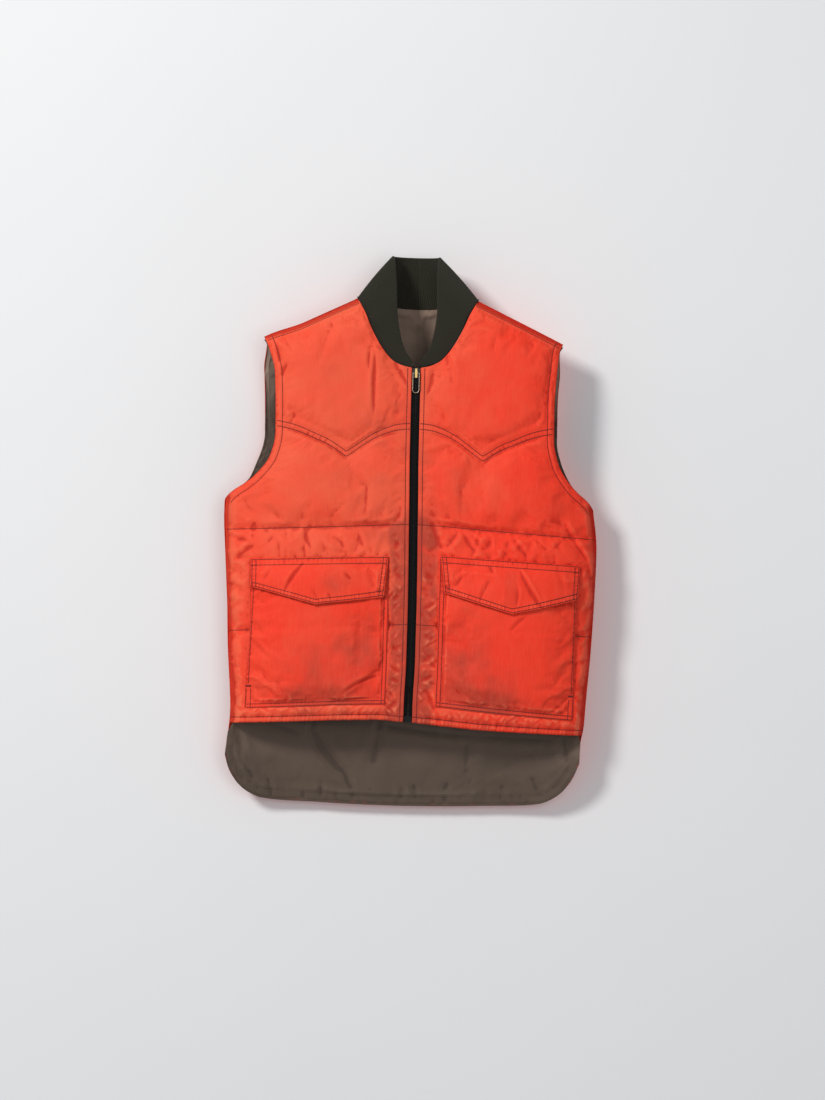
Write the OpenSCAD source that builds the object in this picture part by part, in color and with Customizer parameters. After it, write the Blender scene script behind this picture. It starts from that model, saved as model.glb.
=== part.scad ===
// Quilted blaze orange field vest, western yokes, flapped patch pockets,
// rib-knit collar, long back tail, separating front zip.
// +Z up, front faces -Y, X = 0 is the zip line, Z = 0 is the tail's lowest edge,
// Y = 0 is halfway between the flaps and the back.
// Paired pieces are drawn on the +X side, called right, and mirrored for the left.

/* [Body] */
// Half the chest width, flat
half_w = 273; // [265:1:285]
// Half the depth from front to back
half_d = 45; // [42:1:50]
// Thickness of a quilted panel
panel_t = 9.4; // [9:0.1:9.4]
// Thickness of the shell and lining cloth
cloth_t = 0.8; // [0.6:0.1:0.8]
// Height of the front hem at the zip
hem_z = 124; // [118:1:126]
// Height of the underarm
pit_z = 443; // [436:1:450]

/* [Collar] */
// Height of the neck and shoulder point
neck_z = 740; // [738:1:742]
// Half the neck width
neck_w = 88; // [87:1:89]
// Thickness of the rib knit
rib_t = 4; // [3:0.5:4]
// Height of the collar's top edge
collar_z = 803; // [795:1:806]

/* [Pockets] */
// Inner edge of a pocket, from the zip line
pocket_in = 38; // [38:1:42]
// Width of a pocket
pocket_w = 202; // [190:1:203]
// Drop of the flap at its point
flap_drop = 66; // [60:1:68]

/* [Zip] */
// Top end of the zip
zip_top = 641; // [640:1:642]
// Pitch of the teeth
tooth_pitch = 3; // [2.5:0.5:4]
// Width of the slider body
slider_w = 11; // [10.6:0.1:11]
// Height of the slider body
slider_h = 15; // [14:0.5:15]
// Wire diameter of the pull
wire_d = 1.6; // [1.4:0.1:1.6]

/* [Hidden] */
$fn = 48;

orange = [0.94, 0.33, 0.22];
olive = [0.36, 0.32, 0.28];
rib = [0.2, 0.21, 0.15];
black = [0.07, 0.07, 0.07];
brass = [0.78, 0.64, 0.4];
wool = [0.9, 0.9, 0.88];

// how far the [outer, inner] faces of a piece stand off the front panel
backing_lift = [1.7, 1.0];
yoke_lift = [1.5, 0.8];
pocket_lift = [3.6, 2.4];
loop_lift = [4.7, 4.0];
hook_lift = [5.8, 5.1];
flap_lift = [7.4, 6.1];

y_mid = flap_lift[0] / 2;  // depth of the side seams
side_drop = half_d - 10;   // how far the panels curve to meet at the side seam
flat_x = 110;              // the panels are flat out to here
ridge_front = 12;          // outer faces at the shoulder ridge,
ridge_back = 32;           // measured back from the front's outer face
front_roll_h = 60;         // height over which each panel rolls to the ridge
back_roll_h = 130;
tip_x = 214;               // shoulder tip
tip_z = 680;
side_hem_z = hem_z - 12;   // front hem at the side
gap_x = 6.5;               // cloth edge beside the zip
fold_base_z = 130;         // lower end of the fold line of the open front
seam = 0.4;                // clearance between pieces that are sewn together
fold_gap = 3.4;            // the lapels stop this far from the fold line, so they can turn flat
fill_edge_x = 20;          // the front wadding starts here
fill_inset = 1;            // wadding edge inside the cloth edge
front_fill_gap = 0.6;      // between wadding and cloth
back_fill_gap = 0.9;

function lerp(a, b, t) = a + (b - a) * t;
function clamp(value) = max(0, min(1, value));
function sq(value) = value * value;

// ---- outlines and faces of the body ----
// side seam and armhole: [z, x] for a half width of outline_half_w
outline_half_w = 273;
side_outline = [[0, 262], [60, 260], [112, 258], [242, 266], [374, 271], [pit_z, 270],
  [pit_z + 14, 258.4], [pit_z + 36, 232.6], [pit_z + 67, 213.5], [pit_z + 102, 205.5],
  [594, 205.6], [670, 209.5], [680, 214]];
function side_x(z) = half_w / outline_half_w * lookup(z, side_outline);
// front neckline: [z, x]
neckline = [[zip_top, gap_x], [650, 34], [682, 59], [719, 76], [neck_z, neck_w]];
function neck_x(z) = lookup(z, neckline);

function ridge_z(x) = neck_z + (neck_z - tip_z) / (neck_w - tip_x) * (abs(x) - neck_w);
function fold_x(z) = neck_w * clamp((z - fold_base_z) / (neck_z - fold_base_z));
function fold_z(x) = fold_base_z + (neck_z - fold_base_z) / neck_w * x;

// curve of both panels towards the side seam
function side_curve(x, z) =
  let (seam_x = z < pit_z ? side_x(z) : half_w)
  side_drop * pow(clamp((abs(x) - flat_x) / (seam_x - flat_x)), 3);
// 1 at the shoulder ridge, 0 from the given height below it
function roll(x, z, height) = sq(1 - clamp((ridge_z(x) - z) / height));
// outer face of the front and of the back
function front_y(x, z) =
  y_mid - half_d + side_curve(x, z) + ridge_front * roll(x, z, front_roll_h);
function back_y(x, z) =
  let (half = half_d - side_curve(x, z))
  y_mid + half - (2 * half - ridge_back) * roll(x, z, back_roll_h);
// faces at a depth inside those
function front_at(depth) = function (x, z) front_y(x, z) + depth;
function back_at(depth) = function (x, z) back_y(x, z) - depth;

// ---- building a thin piece ----
// A patch maps (u, v), each 0 to 1, to [x, z]; this one is a Coons patch on four edge curves.
function coons(bottom, top, inner, outer) = function (u, v)
  (1 - v) * bottom(u) + v * top(u) + (1 - u) * inner(v) + u * outer(v)
  - ((1 - u) * (1 - v) * bottom(0) + u * (1 - v) * bottom(1)
    + (1 - u) * v * top(0) + u * v * top(1));
// patch with upright sides between two height functions
function upright_patch(x0, x1, low, high) = function (u, v)
  let (x = lerp(x0, x1, u))
  [x, lerp(low(x), high(x), v)];

// closed solid between two point grids, stored row by row
module grid_solid(near, far, columns) {
  count = len(near);
  rows = count / columns;
  cells = [for (j = [0 : rows - 2]) for (i = [0 : columns - 2]) j * columns + i];
  near_faces = [for (k = cells) each [
    [k, k + columns, k + columns + 1],
    [k, k + columns + 1, k + 1]]];
  far_faces = [for (f = near_faces) [f[0] + count, f[2] + count, f[1] + count]];
  rim = concat(
    [for (i = [0 : columns - 1]) i],
    [for (j = [1 : rows - 1]) j * columns + columns - 1],
    [for (i = [columns - 2 : -1 : 0]) (rows - 1) * columns + i],
    [for (j = [rows - 2 : -1 : 1]) j * columns]);
  rim_faces = [for (k = [0 : len(rim) - 1])
    let (a = rim[k], b = rim[(k + 1) % len(rim)])
    each [[a, b, b + count], [a, b + count, a + count]]];
  polyhedron(concat(near, far), concat(near_faces, far_faces, rim_faces));
}
// slab over a patch; near and far give the depth of its -Y and +Y faces
module slab(u_steps, v_steps, patch, near, far) {
  grid = [for (v = v_steps) for (u = u_steps) patch(u, v)];
  grid_solid([for (p = grid) [p[0], near(p[0], p[1]), p[1]]],
    [for (p = grid) [p[0], far(p[0], p[1]), p[1]]], len(u_steps));
}
// slab laid over the front panel
module overlay(u_steps, v_steps, patch, lift) {
  slab(u_steps, v_steps, patch, front_at(-lift[0]), front_at(-lift[1]));
}
module left() { mirror([1, 0, 0]) children(); }

// ---- layers of the front, thinning towards the zip ----
function taper(x, thin, start, run) = lerp(thin, panel_t, clamp((x - start) / run));
function front_t(x) = taper(x, thin = 3, start = 16, run = 14);
function wadding_t(x) = taper(x, thin = 3.8, start = 24, run = 26);
module shell_layer(u_steps, v_steps, patch) {
  color(orange) slab(u_steps, v_steps, patch, front_at(0), front_at(cloth_t));
}
module fill_layer(u_steps, v_steps, patch) {
  inside = cloth_t + front_fill_gap;
  color(wool) slab(u_steps, v_steps, patch, front_at(inside),
    function (x, z) front_y(x, z) + wadding_t(x) - inside);
}
module lining_layer(u_steps, v_steps, patch) {
  color(olive) slab(u_steps, v_steps, patch,
    function (x, z) front_y(x, z) + front_t(x) - cloth_t,
    function (x, z) front_y(x, z) + front_t(x));
}

// ---- front panels ----
hem_corner_x = side_x(112);
function shoulder_edge(u, inset = 0) =
  [lerp(neck_w + seam + inset, tip_x - inset, u), lerp(neck_z, tip_z, u) - seam - inset];
function side_edge(v, base_z, inset = 0) =
  let (z = lerp(base_z + inset, tip_z - seam - inset, v))
  [side_x(z) - inset, z];
function front_patch(min_x, inset) = coons(
  function (u) [lerp(min_x + inset, hem_corner_x - inset, u), lerp(hem_z, side_hem_z, u) + inset],
  function (u) shoulder_edge(u, inset),
  function (v)
    let (z = lerp(hem_z + inset, neck_z - seam - inset, v))
    [max(min_x, fold_x(z) + seam) + inset, z],
  function (v) side_edge(v, side_hem_z, inset));
front_us = [0, 0.06, 0.13, 0.25, 0.42, 0.56, 0.68, 0.78, 0.87, 0.94, 1];
front_vs = [0, 0.1, 0.22, 0.36, 0.48, 0.583, 0.612, 0.648, 0.7, 0.76, 0.82, 0.87,
  0.905, 0.93, 0.955, 0.98, 1];
module front_shell() { shell_layer(front_us, front_vs, front_patch(gap_x, 0)); }
module front_fill() { fill_layer(front_us, front_vs, front_patch(fill_edge_x, fill_inset)); }
module front_lining() { lining_layer(front_us, front_vs, front_patch(gap_x, 0)); }

// ---- lapels: the part of each front between the fold line and the zip ----
lapel_z = [212, 724];
lapel_fill_z = [318, 699];
function lapel_patch(min_x, span, inset) = function (u, v)
  let (z = lerp(span[0], span[1], v))
  [lerp(max(min_x, neck_x(z) + inset), fold_x(z) - fold_gap - inset, u), z];
lapel_us = [0, 0.2, 0.45, 0.7, 1];
lapel_vs = [0, 0.12, 0.27, 0.42, 0.57, 0.72, 0.838, 0.855, 0.88, 0.905, 0.935, 0.965, 1];
module lapel_shell() { shell_layer(lapel_us, lapel_vs, lapel_patch(gap_x, lapel_z, 0)); }
module lapel_fill() {
  fill_layer([0, 0.35, 0.7, 1], [0, 0.2, 0.4, 0.6, 0.75, 0.84, 0.9, 0.95, 1],
    lapel_patch(fill_edge_x, lapel_fill_z, fill_inset));
}
module lapel_lining() { lining_layer(lapel_us, lapel_vs, lapel_patch(gap_x, lapel_z, 0)); }

// ---- western yoke, laid over the shell on both sides of the fold line ----
// lower edge: [x, z]
yoke_edge = [[0, 558], [15, 558], [44, 549], [75, 529], [100, 509.5], [146, 535.5],
  [181, 550.5], [205, 556.3]];
yoke_in = 59;
yoke_out = 205;
yoke_corner_x = side_x(557);
yoke_fold_gap = seam + 0.3;
lapel_yoke_out = 55.4;
function yoke_z(x) = lookup(x, yoke_edge);
module yoke() {
  color(orange) overlay(
    [0, 0.15, 0.285, 0.45, 0.6, 0.75, 0.85, 0.94, 1],
    [0, 0.2, 0.4, 0.55, 0.68, 0.76, 0.84, 0.92, 1],
    coons(
      function (u) let (x = lerp(yoke_in, yoke_corner_x, u)) [x, yoke_z(x)],
      function (u) shoulder_edge(u),
      function (v)
        let (z = lerp(yoke_z(yoke_in), neck_z - seam, v))
        [fold_x(z) + yoke_fold_gap, z],
      function (v) side_edge(v, yoke_z(yoke_out))),
    yoke_lift);
}
module lapel_yoke() {
  top_z = lapel_z[1];
  color(orange) overlay([0, 0.15, 0.4, 0.7, 1], [0, 0.25, 0.472, 0.52, 0.6, 0.7, 0.8, 0.9, 1],
    coons(
      function (u) let (x = lerp(gap_x, lapel_yoke_out, u)) [x, yoke_z(x)],
      function (u) [lerp(neck_x(top_z), fold_x(top_z) - fold_gap, u), top_z],
      function (v) let (z = lerp(yoke_z(gap_x), top_z, v)) [max(gap_x, neck_x(z)), z],
      function (v)
        let (z = lerp(yoke_z(lapel_yoke_out), top_z, v))
        [fold_x(z) - fold_gap, z]),
    yoke_lift);
}

// ---- back panel ----
// lower edge of the tail: [x, z]
tail_edge = [[0, 0], [124, 3], [200, 6], [222, 11], [241, 25], [250, 38], [260, 60]];
tail_x = 260;
tail_side_z = 60;
function back_neck_z(x) = neck_z - 11 + 9 * sq(x / neck_w);
function back_patch(inset) = coons(
  function (u)
    let (side = 2 * u - 1)
    [side * (tail_x - inset), lookup(abs(side * tail_x), tail_edge) + inset],
  function (u)
    let (x = (2 * u - 1) * (tip_x - inset))
    [x, (abs(x) > neck_w ? ridge_z(x) : back_neck_z(x)) - seam - inset],
  function (v) let (p = side_edge(v, tail_side_z, inset)) [-p[0], p[1]],
  function (v) side_edge(v, tail_side_z, inset));
// stations from the centre line to the side, as fractions of the half width
back_stations = [0.14, 0.28, neck_w / tip_x, 0.52, 0.64, 0.76, 0.88, 1];
back_us = concat([for (i = [len(back_stations) - 1 : -1 : 0]) (1 - back_stations[i]) / 2],
  [0.5], [for (s = back_stations) (1 + s) / 2]);
back_vs = [0, 0.1, 0.24, 0.38, 0.5, 0.6177, 0.64, 0.676, 0.725, 0.782, 0.83, 0.87,
  0.91, 0.94, 0.97, 1];
// layer between two depths below the outer face
module back_layer(outer, inner, inset = 0) {
  slab(back_us, back_vs, back_patch(inset), back_at(inner), back_at(outer));
}
module back_shell() { color(orange) back_layer(0, cloth_t); }
module back_fill() {
  inside = cloth_t + back_fill_gap;
  color(wool) back_layer(inside, panel_t - inside, fill_inset);
}
module back_lining() { color(olive) back_layer(panel_t - cloth_t, panel_t); }

// ---- pockets and flaps ----
pocket_out = pocket_in + pocket_w;
pocket_top_z = [364, 355];   // at the inner and outer edge
pocket_base_z = [145, 133];
backing_inset = 2;
flap_in = pocket_in + 1.5;
flap_out = pocket_out - 0.5;
flap_point_x = 141;
flap_in_drop = 49;
flap_out_drop = 41;
strip_half_w = 9.5;          // hook and loop strips
strip_z = [300, 344];
pocket_us = [0, 0.18, 0.36, 0.5, 0.62, 0.73, 0.83, 0.92, 1];
pocket_vs = [0, 0.33, 0.66, 1];

function across_pocket(ends, x) = lerp(ends[0], ends[1], (x - pocket_in) / pocket_w);
function flap_top(x) = across_pocket(pocket_top_z, x) - 2;
function flap_base(x) = lookup(x, [
  [flap_in, flap_top(flap_in) - flap_in_drop],
  [flap_point_x, flap_top(flap_point_x) - flap_drop],
  [flap_out, flap_top(flap_out) - flap_out_drop]]);
function pocket_patch(inset) = upright_patch(pocket_in + inset, pocket_out - inset,
  function (x) across_pocket(pocket_base_z, x) + inset,
  function (x) across_pocket(pocket_top_z, x) - 3 - inset);

module pocket() { color(orange) overlay(pocket_us, pocket_vs, pocket_patch(0), pocket_lift); }
module pocket_backing() {
  color(olive) overlay(pocket_us, pocket_vs, pocket_patch(backing_inset), backing_lift);
}
module flap() {
  color(orange) overlay([0, 0.17, 0.34, 0.507, 0.62, 0.73, 0.83, 0.92, 1], [0, 0.34, 0.67, 1],
    upright_patch(flap_in, flap_out, function (x) flap_base(x), function (x) flap_top(x)),
    flap_lift);
}
module strip(lift) {
  color(black) overlay([0, 1], [0, 1],
    upright_patch(flap_point_x - strip_half_w, flap_point_x + strip_half_w,
      function (x) strip_z[0], function (x) strip_z[1]),
    lift);
}
module pocket_loop() { strip(loop_lift); }
module flap_hook() { strip(hook_lift); }

// ---- collar: a band from the neckline to its top edge ----
// station s: 0 centre back, 1 shoulder, 2 zip top; negative on the left
ridge_mid_y = (back_y(86, 738) + front_y(86, 738)) / 2;
// base from shoulder to zip: [s, x, z], and [s, y]
collar_base = [[1, neck_w - 2, neck_z + 2], [1.25, 73, 721], [1.55, 56.3, 684.8],
  [1.8, 32.6, 654], [2, 8, 644.6]];
collar_base_y = [[1, ridge_mid_y], [1.12, y_mid - 31], [1.25, y_mid - 36],
  [1.55, y_mid - 40], [1.8, y_mid - 40.2], [2, y_mid - 43.4]];
// top edge: [s, x, y from y_mid, z]
collar_top = [
  [0, 0, 13, collar_z], [0.4, 16, 10, collar_z], [0.7, 28, 1, collar_z],
  [1, 36, -12, collar_z], [1.12, 34, -22, collar_z - 12], [1.25, 32, -31, collar_z - 33],
  [1.55, 29, -42, 718], [1.8, 19.5, -44, 672], [2, 5.6, -44.2, 649.6]];
collar_front_t = 2;  // thickness at the zip

function table_at(table, column, s) = lookup(s, [for (row = table) [row[0], row[column]]]);
function collar_back_base(s) =
  let (x = s * (neck_w - 2), z = back_neck_z(x))
  [x, back_y(x, z) - panel_t / 2, z + 1.6 + 2.6 * pow(s, 6)];
function base_point(s) = s <= 1
  ? collar_back_base(s)
  : [table_at(collar_base, 1, s), lookup(s, collar_base_y), table_at(collar_base, 2, s)];
function top_point(s) = [table_at(collar_top, 1, s), y_mid + table_at(collar_top, 2, s),
  table_at(collar_top, 3, s)];
function collar_normal(s) =
  let (
    before = max(0, s - 0.02),
    after = min(2, s + 0.02),
    along = base_point(after) + top_point(after) - base_point(before) - top_point(before),
    normal = cross(top_point(s) - base_point(s), along))
  normal / norm(normal);
// face is 1 or -1 for the two faces of the knit
function collar_point(station, height, face) =
  let (
    s = abs(station),
    half_t = lerp(rib_t, collar_front_t, clamp((s - 1.7) / 0.3)) / 2,
    p = lerp(base_point(s), top_point(s), height) + face * half_t * collar_normal(s))
  [station < 0 ? -p[0] : p[0], p[1], p[2]];
function collar_face(stations, face) =
  [for (height = [0, 0.5, 1]) for (s = stations) collar_point(s, height, face)];
module collar_band(stations) {
  color(rib) grid_solid(collar_face(stations, 1), collar_face(stations, -1), len(stations));
}
module collar_back() {
  collar_band([-0.95, -0.85, -0.7, -0.55, -0.4, -0.2, 0, 0.2, 0.4, 0.55, 0.7, 0.85, 0.95]);
}
module collar_side() { collar_band([1.05, 1.12, 1.25, 1.4, 1.55, 1.68, 1.8, 1.9, 2]); }

// ---- zip, split where the fold line crosses it ----
zip_y = y_mid - 43.5;  // middle plane
tape_in = 2.7;
tape_out = 15;
tape_t = 0.6;
tape_below_fold = 4;
tape_above_fold = 14;
lower_teeth_z = [134, 143];
upper_teeth_z = [176, 629];
tooth_t = 2.8;
spine_in = 1.2;
spine_out = 2.6;
// one tooth: [x, z from its lower corner]; it reaches across the zip line
tooth = [[spine_in, 1.3], [-0.6, 1.1], [-0.6, 0.2], [spine_in, 0]];
box_z = 128;
pin_x = -1.9;          // the pin is on the left

module extrude_y(thickness) {
  translate([0, zip_y + thickness / 2, 0]) rotate([90, 0, 0]) linear_extrude(thickness)
    children();
}
// corners run inner bottom, outer bottom, outer top, inner top
module tape(in_z, out_z) {
  color(black) extrude_y(tape_t) polygon([[tape_in, in_z[0]], [tape_out, out_z[0]],
    [tape_out, out_z[1]], [tape_in, in_z[1]]]);
}
module tape_lower() {
  tape([hem_z - 1, fold_z(tape_in) - tape_below_fold],
    [hem_z - 1, fold_z(tape_out) - tape_below_fold]);
}
module tape_upper() {
  tape([fold_z(tape_in) + tape_above_fold, zip_top],
    [fold_z(tape_out) + tape_above_fold, zip_top]);
}
// teeth on their spine; the left row is half a pitch higher, to mesh with the right
module tooth_row(span, shift = 0) {
  count = floor((span[1] - span[0] - 2) / tooth_pitch);
  first_z = span[0] + 0.4 + shift;
  color(black) extrude_y(tooth_t) polygon(concat(
    [[spine_out, span[0]], [spine_out, span[1]], [spine_in, span[1]]],
    [for (i = [count - 1 : -1 : 0]) for (p = tooth) [p[0], first_z + i * tooth_pitch + p[1]]],
    [[spine_in, span[0]]]));
}
module zip_tapes_lower() {
  tape_lower();
  left() tape_lower();
}
module zip_teeth_lower() {
  tooth_row(lower_teeth_z);
  left() tooth_row(lower_teeth_z, tooth_pitch / 2);
}
module top_stop() {
  color(black) translate([2.9, zip_y, zip_top + 1.7]) cube([1.8, 2.4, 2.6], center = true);
}
module retainer_box() {
  color(black) difference() {
    translate([0, zip_y, box_z]) cube([10, 4.6, 9], center = true);
    // pin socket, then a slot for each tape
    translate([pin_x, zip_y, box_z + 1.5]) cube([1.8, 2.6, 9], center = true);
    for (side = [-1, 1])
      translate([side * 4.2, zip_y, box_z]) cube([3, 1.2, 10], center = true);
  }
}
module insertion_pin() {
  color(black) translate([pin_x, zip_y, box_z + 1.6]) cube([1.4, 2.2, 7.6], center = true);
}

// ---- slider ----
slider_z = 632;           // slider centre, zip closed
plate_t = 1.4;
plate_r = 2;
flange = 1.3;
slider_front = zip_y - 3.4;
inner_front = zip_y - 2.1;  // front of the parts between the plates
pull_y = slider_front - 1.15;
pull_half_w = 4.6;
pull_l = 24;

module plate_outline() {
  half_x = slider_w / 2;
  half_z = slider_h / 2;
  translate([-half_x, -half_z + plate_r]) square([2 * half_x, 2 * half_z - 2 * plate_r]);
  translate([-half_x + plate_r, -half_z]) square([2 * half_x - 2 * plate_r, 2 * half_z]);
  for (i = [-1, 1]) for (j = [-1, 1])
    translate([i * (half_x - plate_r), j * (half_z - plate_r)]) circle(plate_r);
}
module plate(front) {
  translate([0, front + plate_t, slider_z]) rotate([90, 0, 0]) linear_extrude(plate_t)
    plate_outline();
}
module slider_body() {
  color(black) union() {
    plate(slider_front);
    plate(zip_y + 2.0);
    // side flanges on both plates
    for (x = [slider_w / 2 - flange, -slider_w / 2]) for (y = [inner_front, zip_y + 0.8])
      translate([x, y, slider_z - slider_h / 2 + 2]) cube([flange, flange, slider_h - 4]);
    // post joining the plates
    translate([-1, inner_front, slider_z + 3.2]) cube([2, 4.2, 3.3]);
  }
}
module slider_rail() {
  color(brass) difference() {
    translate([-1.6, slider_front - 3.05, slider_z - 6.5]) cube([3.2, 3, 13]);
    translate([-2, slider_front - 2.15, slider_z - 4.6]) cube([4, 2.5, 9.2]);
  }
}
module wire(start, end) {
  run = end - start;
  length = norm(run);
  translate(start) rotate([0, acos(run[2] / length), atan2(run[1], run[0])])
    cylinder(d = wire_d, h = length);
}
module pull_loop() {
  color(brass) translate([0, pull_y, slider_z]) {
    wire([-pull_half_w, 0, 0], [pull_half_w, 0, 0]);
    for (x = [-pull_half_w, pull_half_w]) {
      translate([x, 0, 0]) sphere(d = wire_d);
      wire([x, 0, 0], [x, 0, -pull_l]);
    }
    translate([0, 0, -pull_l]) rotate([90, 0, 0]) rotate([0, 0, 180])
      rotate_extrude(angle = 180) translate([pull_half_w, 0]) circle(d = wire_d);
  }
}

back_shell();
back_fill();
back_lining();
left() front_shell();  // front_left_shell
left() front_fill();  // front_left_fill
left() front_lining();  // front_left_lining
front_shell();  // front_right_shell
front_fill();  // front_right_fill
front_lining();  // front_right_lining
left() yoke();  // yoke_left
yoke();  // yoke_right
left() pocket();  // pocket_left
pocket();  // pocket_right
left() pocket_backing();  // pocket_backing_left
pocket_backing();  // pocket_backing_right
left() pocket_loop();  // pocket_loop_left
pocket_loop();  // pocket_loop_right
collar_back();
zip_tapes_lower();
zip_teeth_lower();
retainer_box();
insertion_pin();
left() lapel_shell();  // lapel_left_shell
left() lapel_fill();  // lapel_left_fill
left() lapel_lining();  // lapel_left_lining
left() lapel_yoke();  // lapel_left_yoke
left() collar_side();  // collar_left
left() tape_upper();  // zip_tape_left
left() tooth_row(upper_teeth_z, tooth_pitch / 2);  // zip_teeth_left
left() top_stop();  // top_stop_left
lapel_shell();  // lapel_right_shell
lapel_fill();  // lapel_right_fill
lapel_lining();  // lapel_right_lining
lapel_yoke();  // lapel_right_yoke
collar_side();  // collar_right
tape_upper();  // zip_tape_right
tooth_row(upper_teeth_z);  // zip_teeth_right
top_stop();  // top_stop_right
slider_body();
slider_rail();
pull_loop();
left() flap();  // flap_left
flap();  // flap_right
left() flap_hook();  // flap_hook_left
flap_hook();  // flap_hook_right
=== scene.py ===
"""Quilted blaze orange vest with a rib collar, a zip and two flapped pockets.

It hangs upright: x runs across, z is up, the front faces -y. "Left" is x < 0 and "right" is x > 0.
Lengths are millimetres, with the centre line at x = 0, and become metres through MM. Outlines are
drawn for x > 0 and mirrored by sign (-1 or 1). A "flat" grid holds (x, z), a full grid (x, y, z).
"""
import math
from collections import namedtuple
from functools import cached_property
from itertools import product

import bpy
import numpy as np
from mathutils import Matrix, Vector
from mathutils.bvhtree import BVHTree
from numpy import linspace


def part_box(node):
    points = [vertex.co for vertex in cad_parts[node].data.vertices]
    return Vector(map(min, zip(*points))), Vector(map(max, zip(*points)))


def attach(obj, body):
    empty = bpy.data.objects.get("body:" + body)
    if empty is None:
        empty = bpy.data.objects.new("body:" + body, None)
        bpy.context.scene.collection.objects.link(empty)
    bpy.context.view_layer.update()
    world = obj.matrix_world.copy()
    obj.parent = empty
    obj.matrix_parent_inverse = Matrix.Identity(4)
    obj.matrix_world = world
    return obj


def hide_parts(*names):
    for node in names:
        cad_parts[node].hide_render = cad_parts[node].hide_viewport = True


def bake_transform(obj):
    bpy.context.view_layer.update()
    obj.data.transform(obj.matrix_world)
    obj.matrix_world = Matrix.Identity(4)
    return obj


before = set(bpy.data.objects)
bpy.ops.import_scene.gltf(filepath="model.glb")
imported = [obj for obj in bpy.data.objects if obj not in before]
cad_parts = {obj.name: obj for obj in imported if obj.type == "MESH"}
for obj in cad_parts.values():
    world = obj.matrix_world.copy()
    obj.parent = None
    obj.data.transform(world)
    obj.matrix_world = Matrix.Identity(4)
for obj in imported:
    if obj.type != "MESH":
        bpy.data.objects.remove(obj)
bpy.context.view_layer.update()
MM = 0.001
SIDES = {-1: "left", 1: "right"}
pieces = {}  # every built object, by name

# ------------------------------------------------------------------ maths


def lerp(a, b, t):
    return a + (b - a) * t


def clamp(v, a=0.0, b=1.0):
    return np.clip(v, a, b)


def smooth(t):
    t = clamp(t)
    return t * t * (3 - 2 * t)


def rise(v, start, width):
    """0 up to start, then a soft climb to 1 over width."""
    return smooth((v - start) / width)


def fall(v, end, width):
    """1, then a soft drop over width that reaches 0 at end."""
    return smooth((end - v) / width)


def bell(distance, width):
    return np.exp(-((distance / width) ** 2))


def blob(x, z, mid_x, mid_z, radius_x, radius_z):
    return np.exp(-(((x - mid_x) / radius_x) ** 2) - (((z - mid_z) / radius_z) ** 2))


def pair(x, z):
    return np.stack([x, z], -1)


def xz(grid):
    """Views of x and z of a flat or a full grid."""
    return grid[..., 0], grid[..., -1]


def pchip(x, table):
    """Monotone cubic curve through the (x, value) points of a table."""
    knots = np.array([p[0] for p in table], float)
    values = np.array([p[1] for p in table], float)
    gaps = np.diff(knots)
    slopes = np.diff(values) / gaps
    tangents = np.zeros(len(knots))
    tangents[0], tangents[-1] = slopes[0], slopes[-1]
    for i in range(1, len(knots) - 1):
        if slopes[i - 1] * slopes[i] > 0:
            before, after = 2 * gaps[i] + gaps[i - 1], gaps[i] + 2 * gaps[i - 1]
            tangents[i] = (before + after) / (before / slopes[i - 1] + after / slopes[i])
    x = clamp(np.asarray(x, float), knots[0], knots[-1])
    i = np.clip(np.searchsorted(knots, x, side="right") - 1, 0, len(gaps) - 1)
    t = (x - knots[i]) / gaps[i]
    return (values[i] * (1 + 2 * t) * (1 - t) ** 2 + values[i + 1] * t * t * (3 - 2 * t)
            + gaps[i] * tangents[i] * t * (1 - t) ** 2
            + gaps[i] * tangents[i + 1] * t * t * (t - 1))


PERM = np.tile(np.random.default_rng(3).permutation(256), 3)
GRADIENTS = np.random.default_rng(4).normal(size=(256, 3))
GRADIENTS /= np.linalg.norm(GRADIENTS, axis=1)[:, None]


def noise(x, y=0.0, z=0.0):
    """Gradient noise, about -1 to 1, on arrays."""
    point = np.broadcast_arrays(*(np.asarray(v, float) for v in (x, y, z)))
    cell = [np.floor(v).astype(int) for v in point]
    part = [v - c for v, c in zip(point, cell)]
    ease = [f * f * f * (f * (f * 6 - 15) + 10) for f in part]
    total = 0
    for corner in product((0, 1), repeat=3):
        index = 0
        for c, step in zip(cell, corner):
            index = PERM[index + ((c + step) & 255)]
        gradient = GRADIENTS[index]
        value = sum(gradient[..., axis] * (part[axis] - corner[axis]) for axis in range(3))
        for e, step in zip(ease, corner):
            value = value * (e if step else 1 - e)
        total = total + value
    return total * 1.6


def fbm(x, y, z):
    """Three octaves of noise."""
    return sum(noise(x * 2 ** k, y * 2 ** k, z * 2 ** k + 7 * k) * 0.5 ** k for k in range(3))


def ridged(x, y, z):
    """Sharp creases: 1 on the crease, falling away."""
    return 1 - np.minimum(1, np.abs(noise(x, y, z)) * 3.2)


# ------------------------------------------------------------------ the vest's shape, as in the CAD

HALF_W, HALF_D, THICK, Y_MID = 273.0, 45.0, 9.4, 3.7
HEM, PIT = 124.0, 443.0  # heights of the hem and of the armpit
NECK_W, NECK_Z = 88.0, 740.0  # inner end of the shoulder ridge
TIP_X, TIP_Z = 214.0, 680.0  # outer end of the shoulder ridge
ZIP_TOP, GAP_X = 641.0, 6.5  # top of the zip, and where the front's cloth starts
ZIP_Y = Y_MID - 43.5
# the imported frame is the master: stop if it has moved away from these numbers
assert abs(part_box("front_right_shell")[0].x / MM - GAP_X) < 1
assert abs(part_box("zip_tape_right")[1].z / MM - ZIP_TOP) < 1
assert abs(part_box("back_shell")[1].y / MM - (Y_MID + HALF_D)) < 1
assert abs(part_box("slider_body")[0].z / MM - 624.5) < 1

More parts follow.
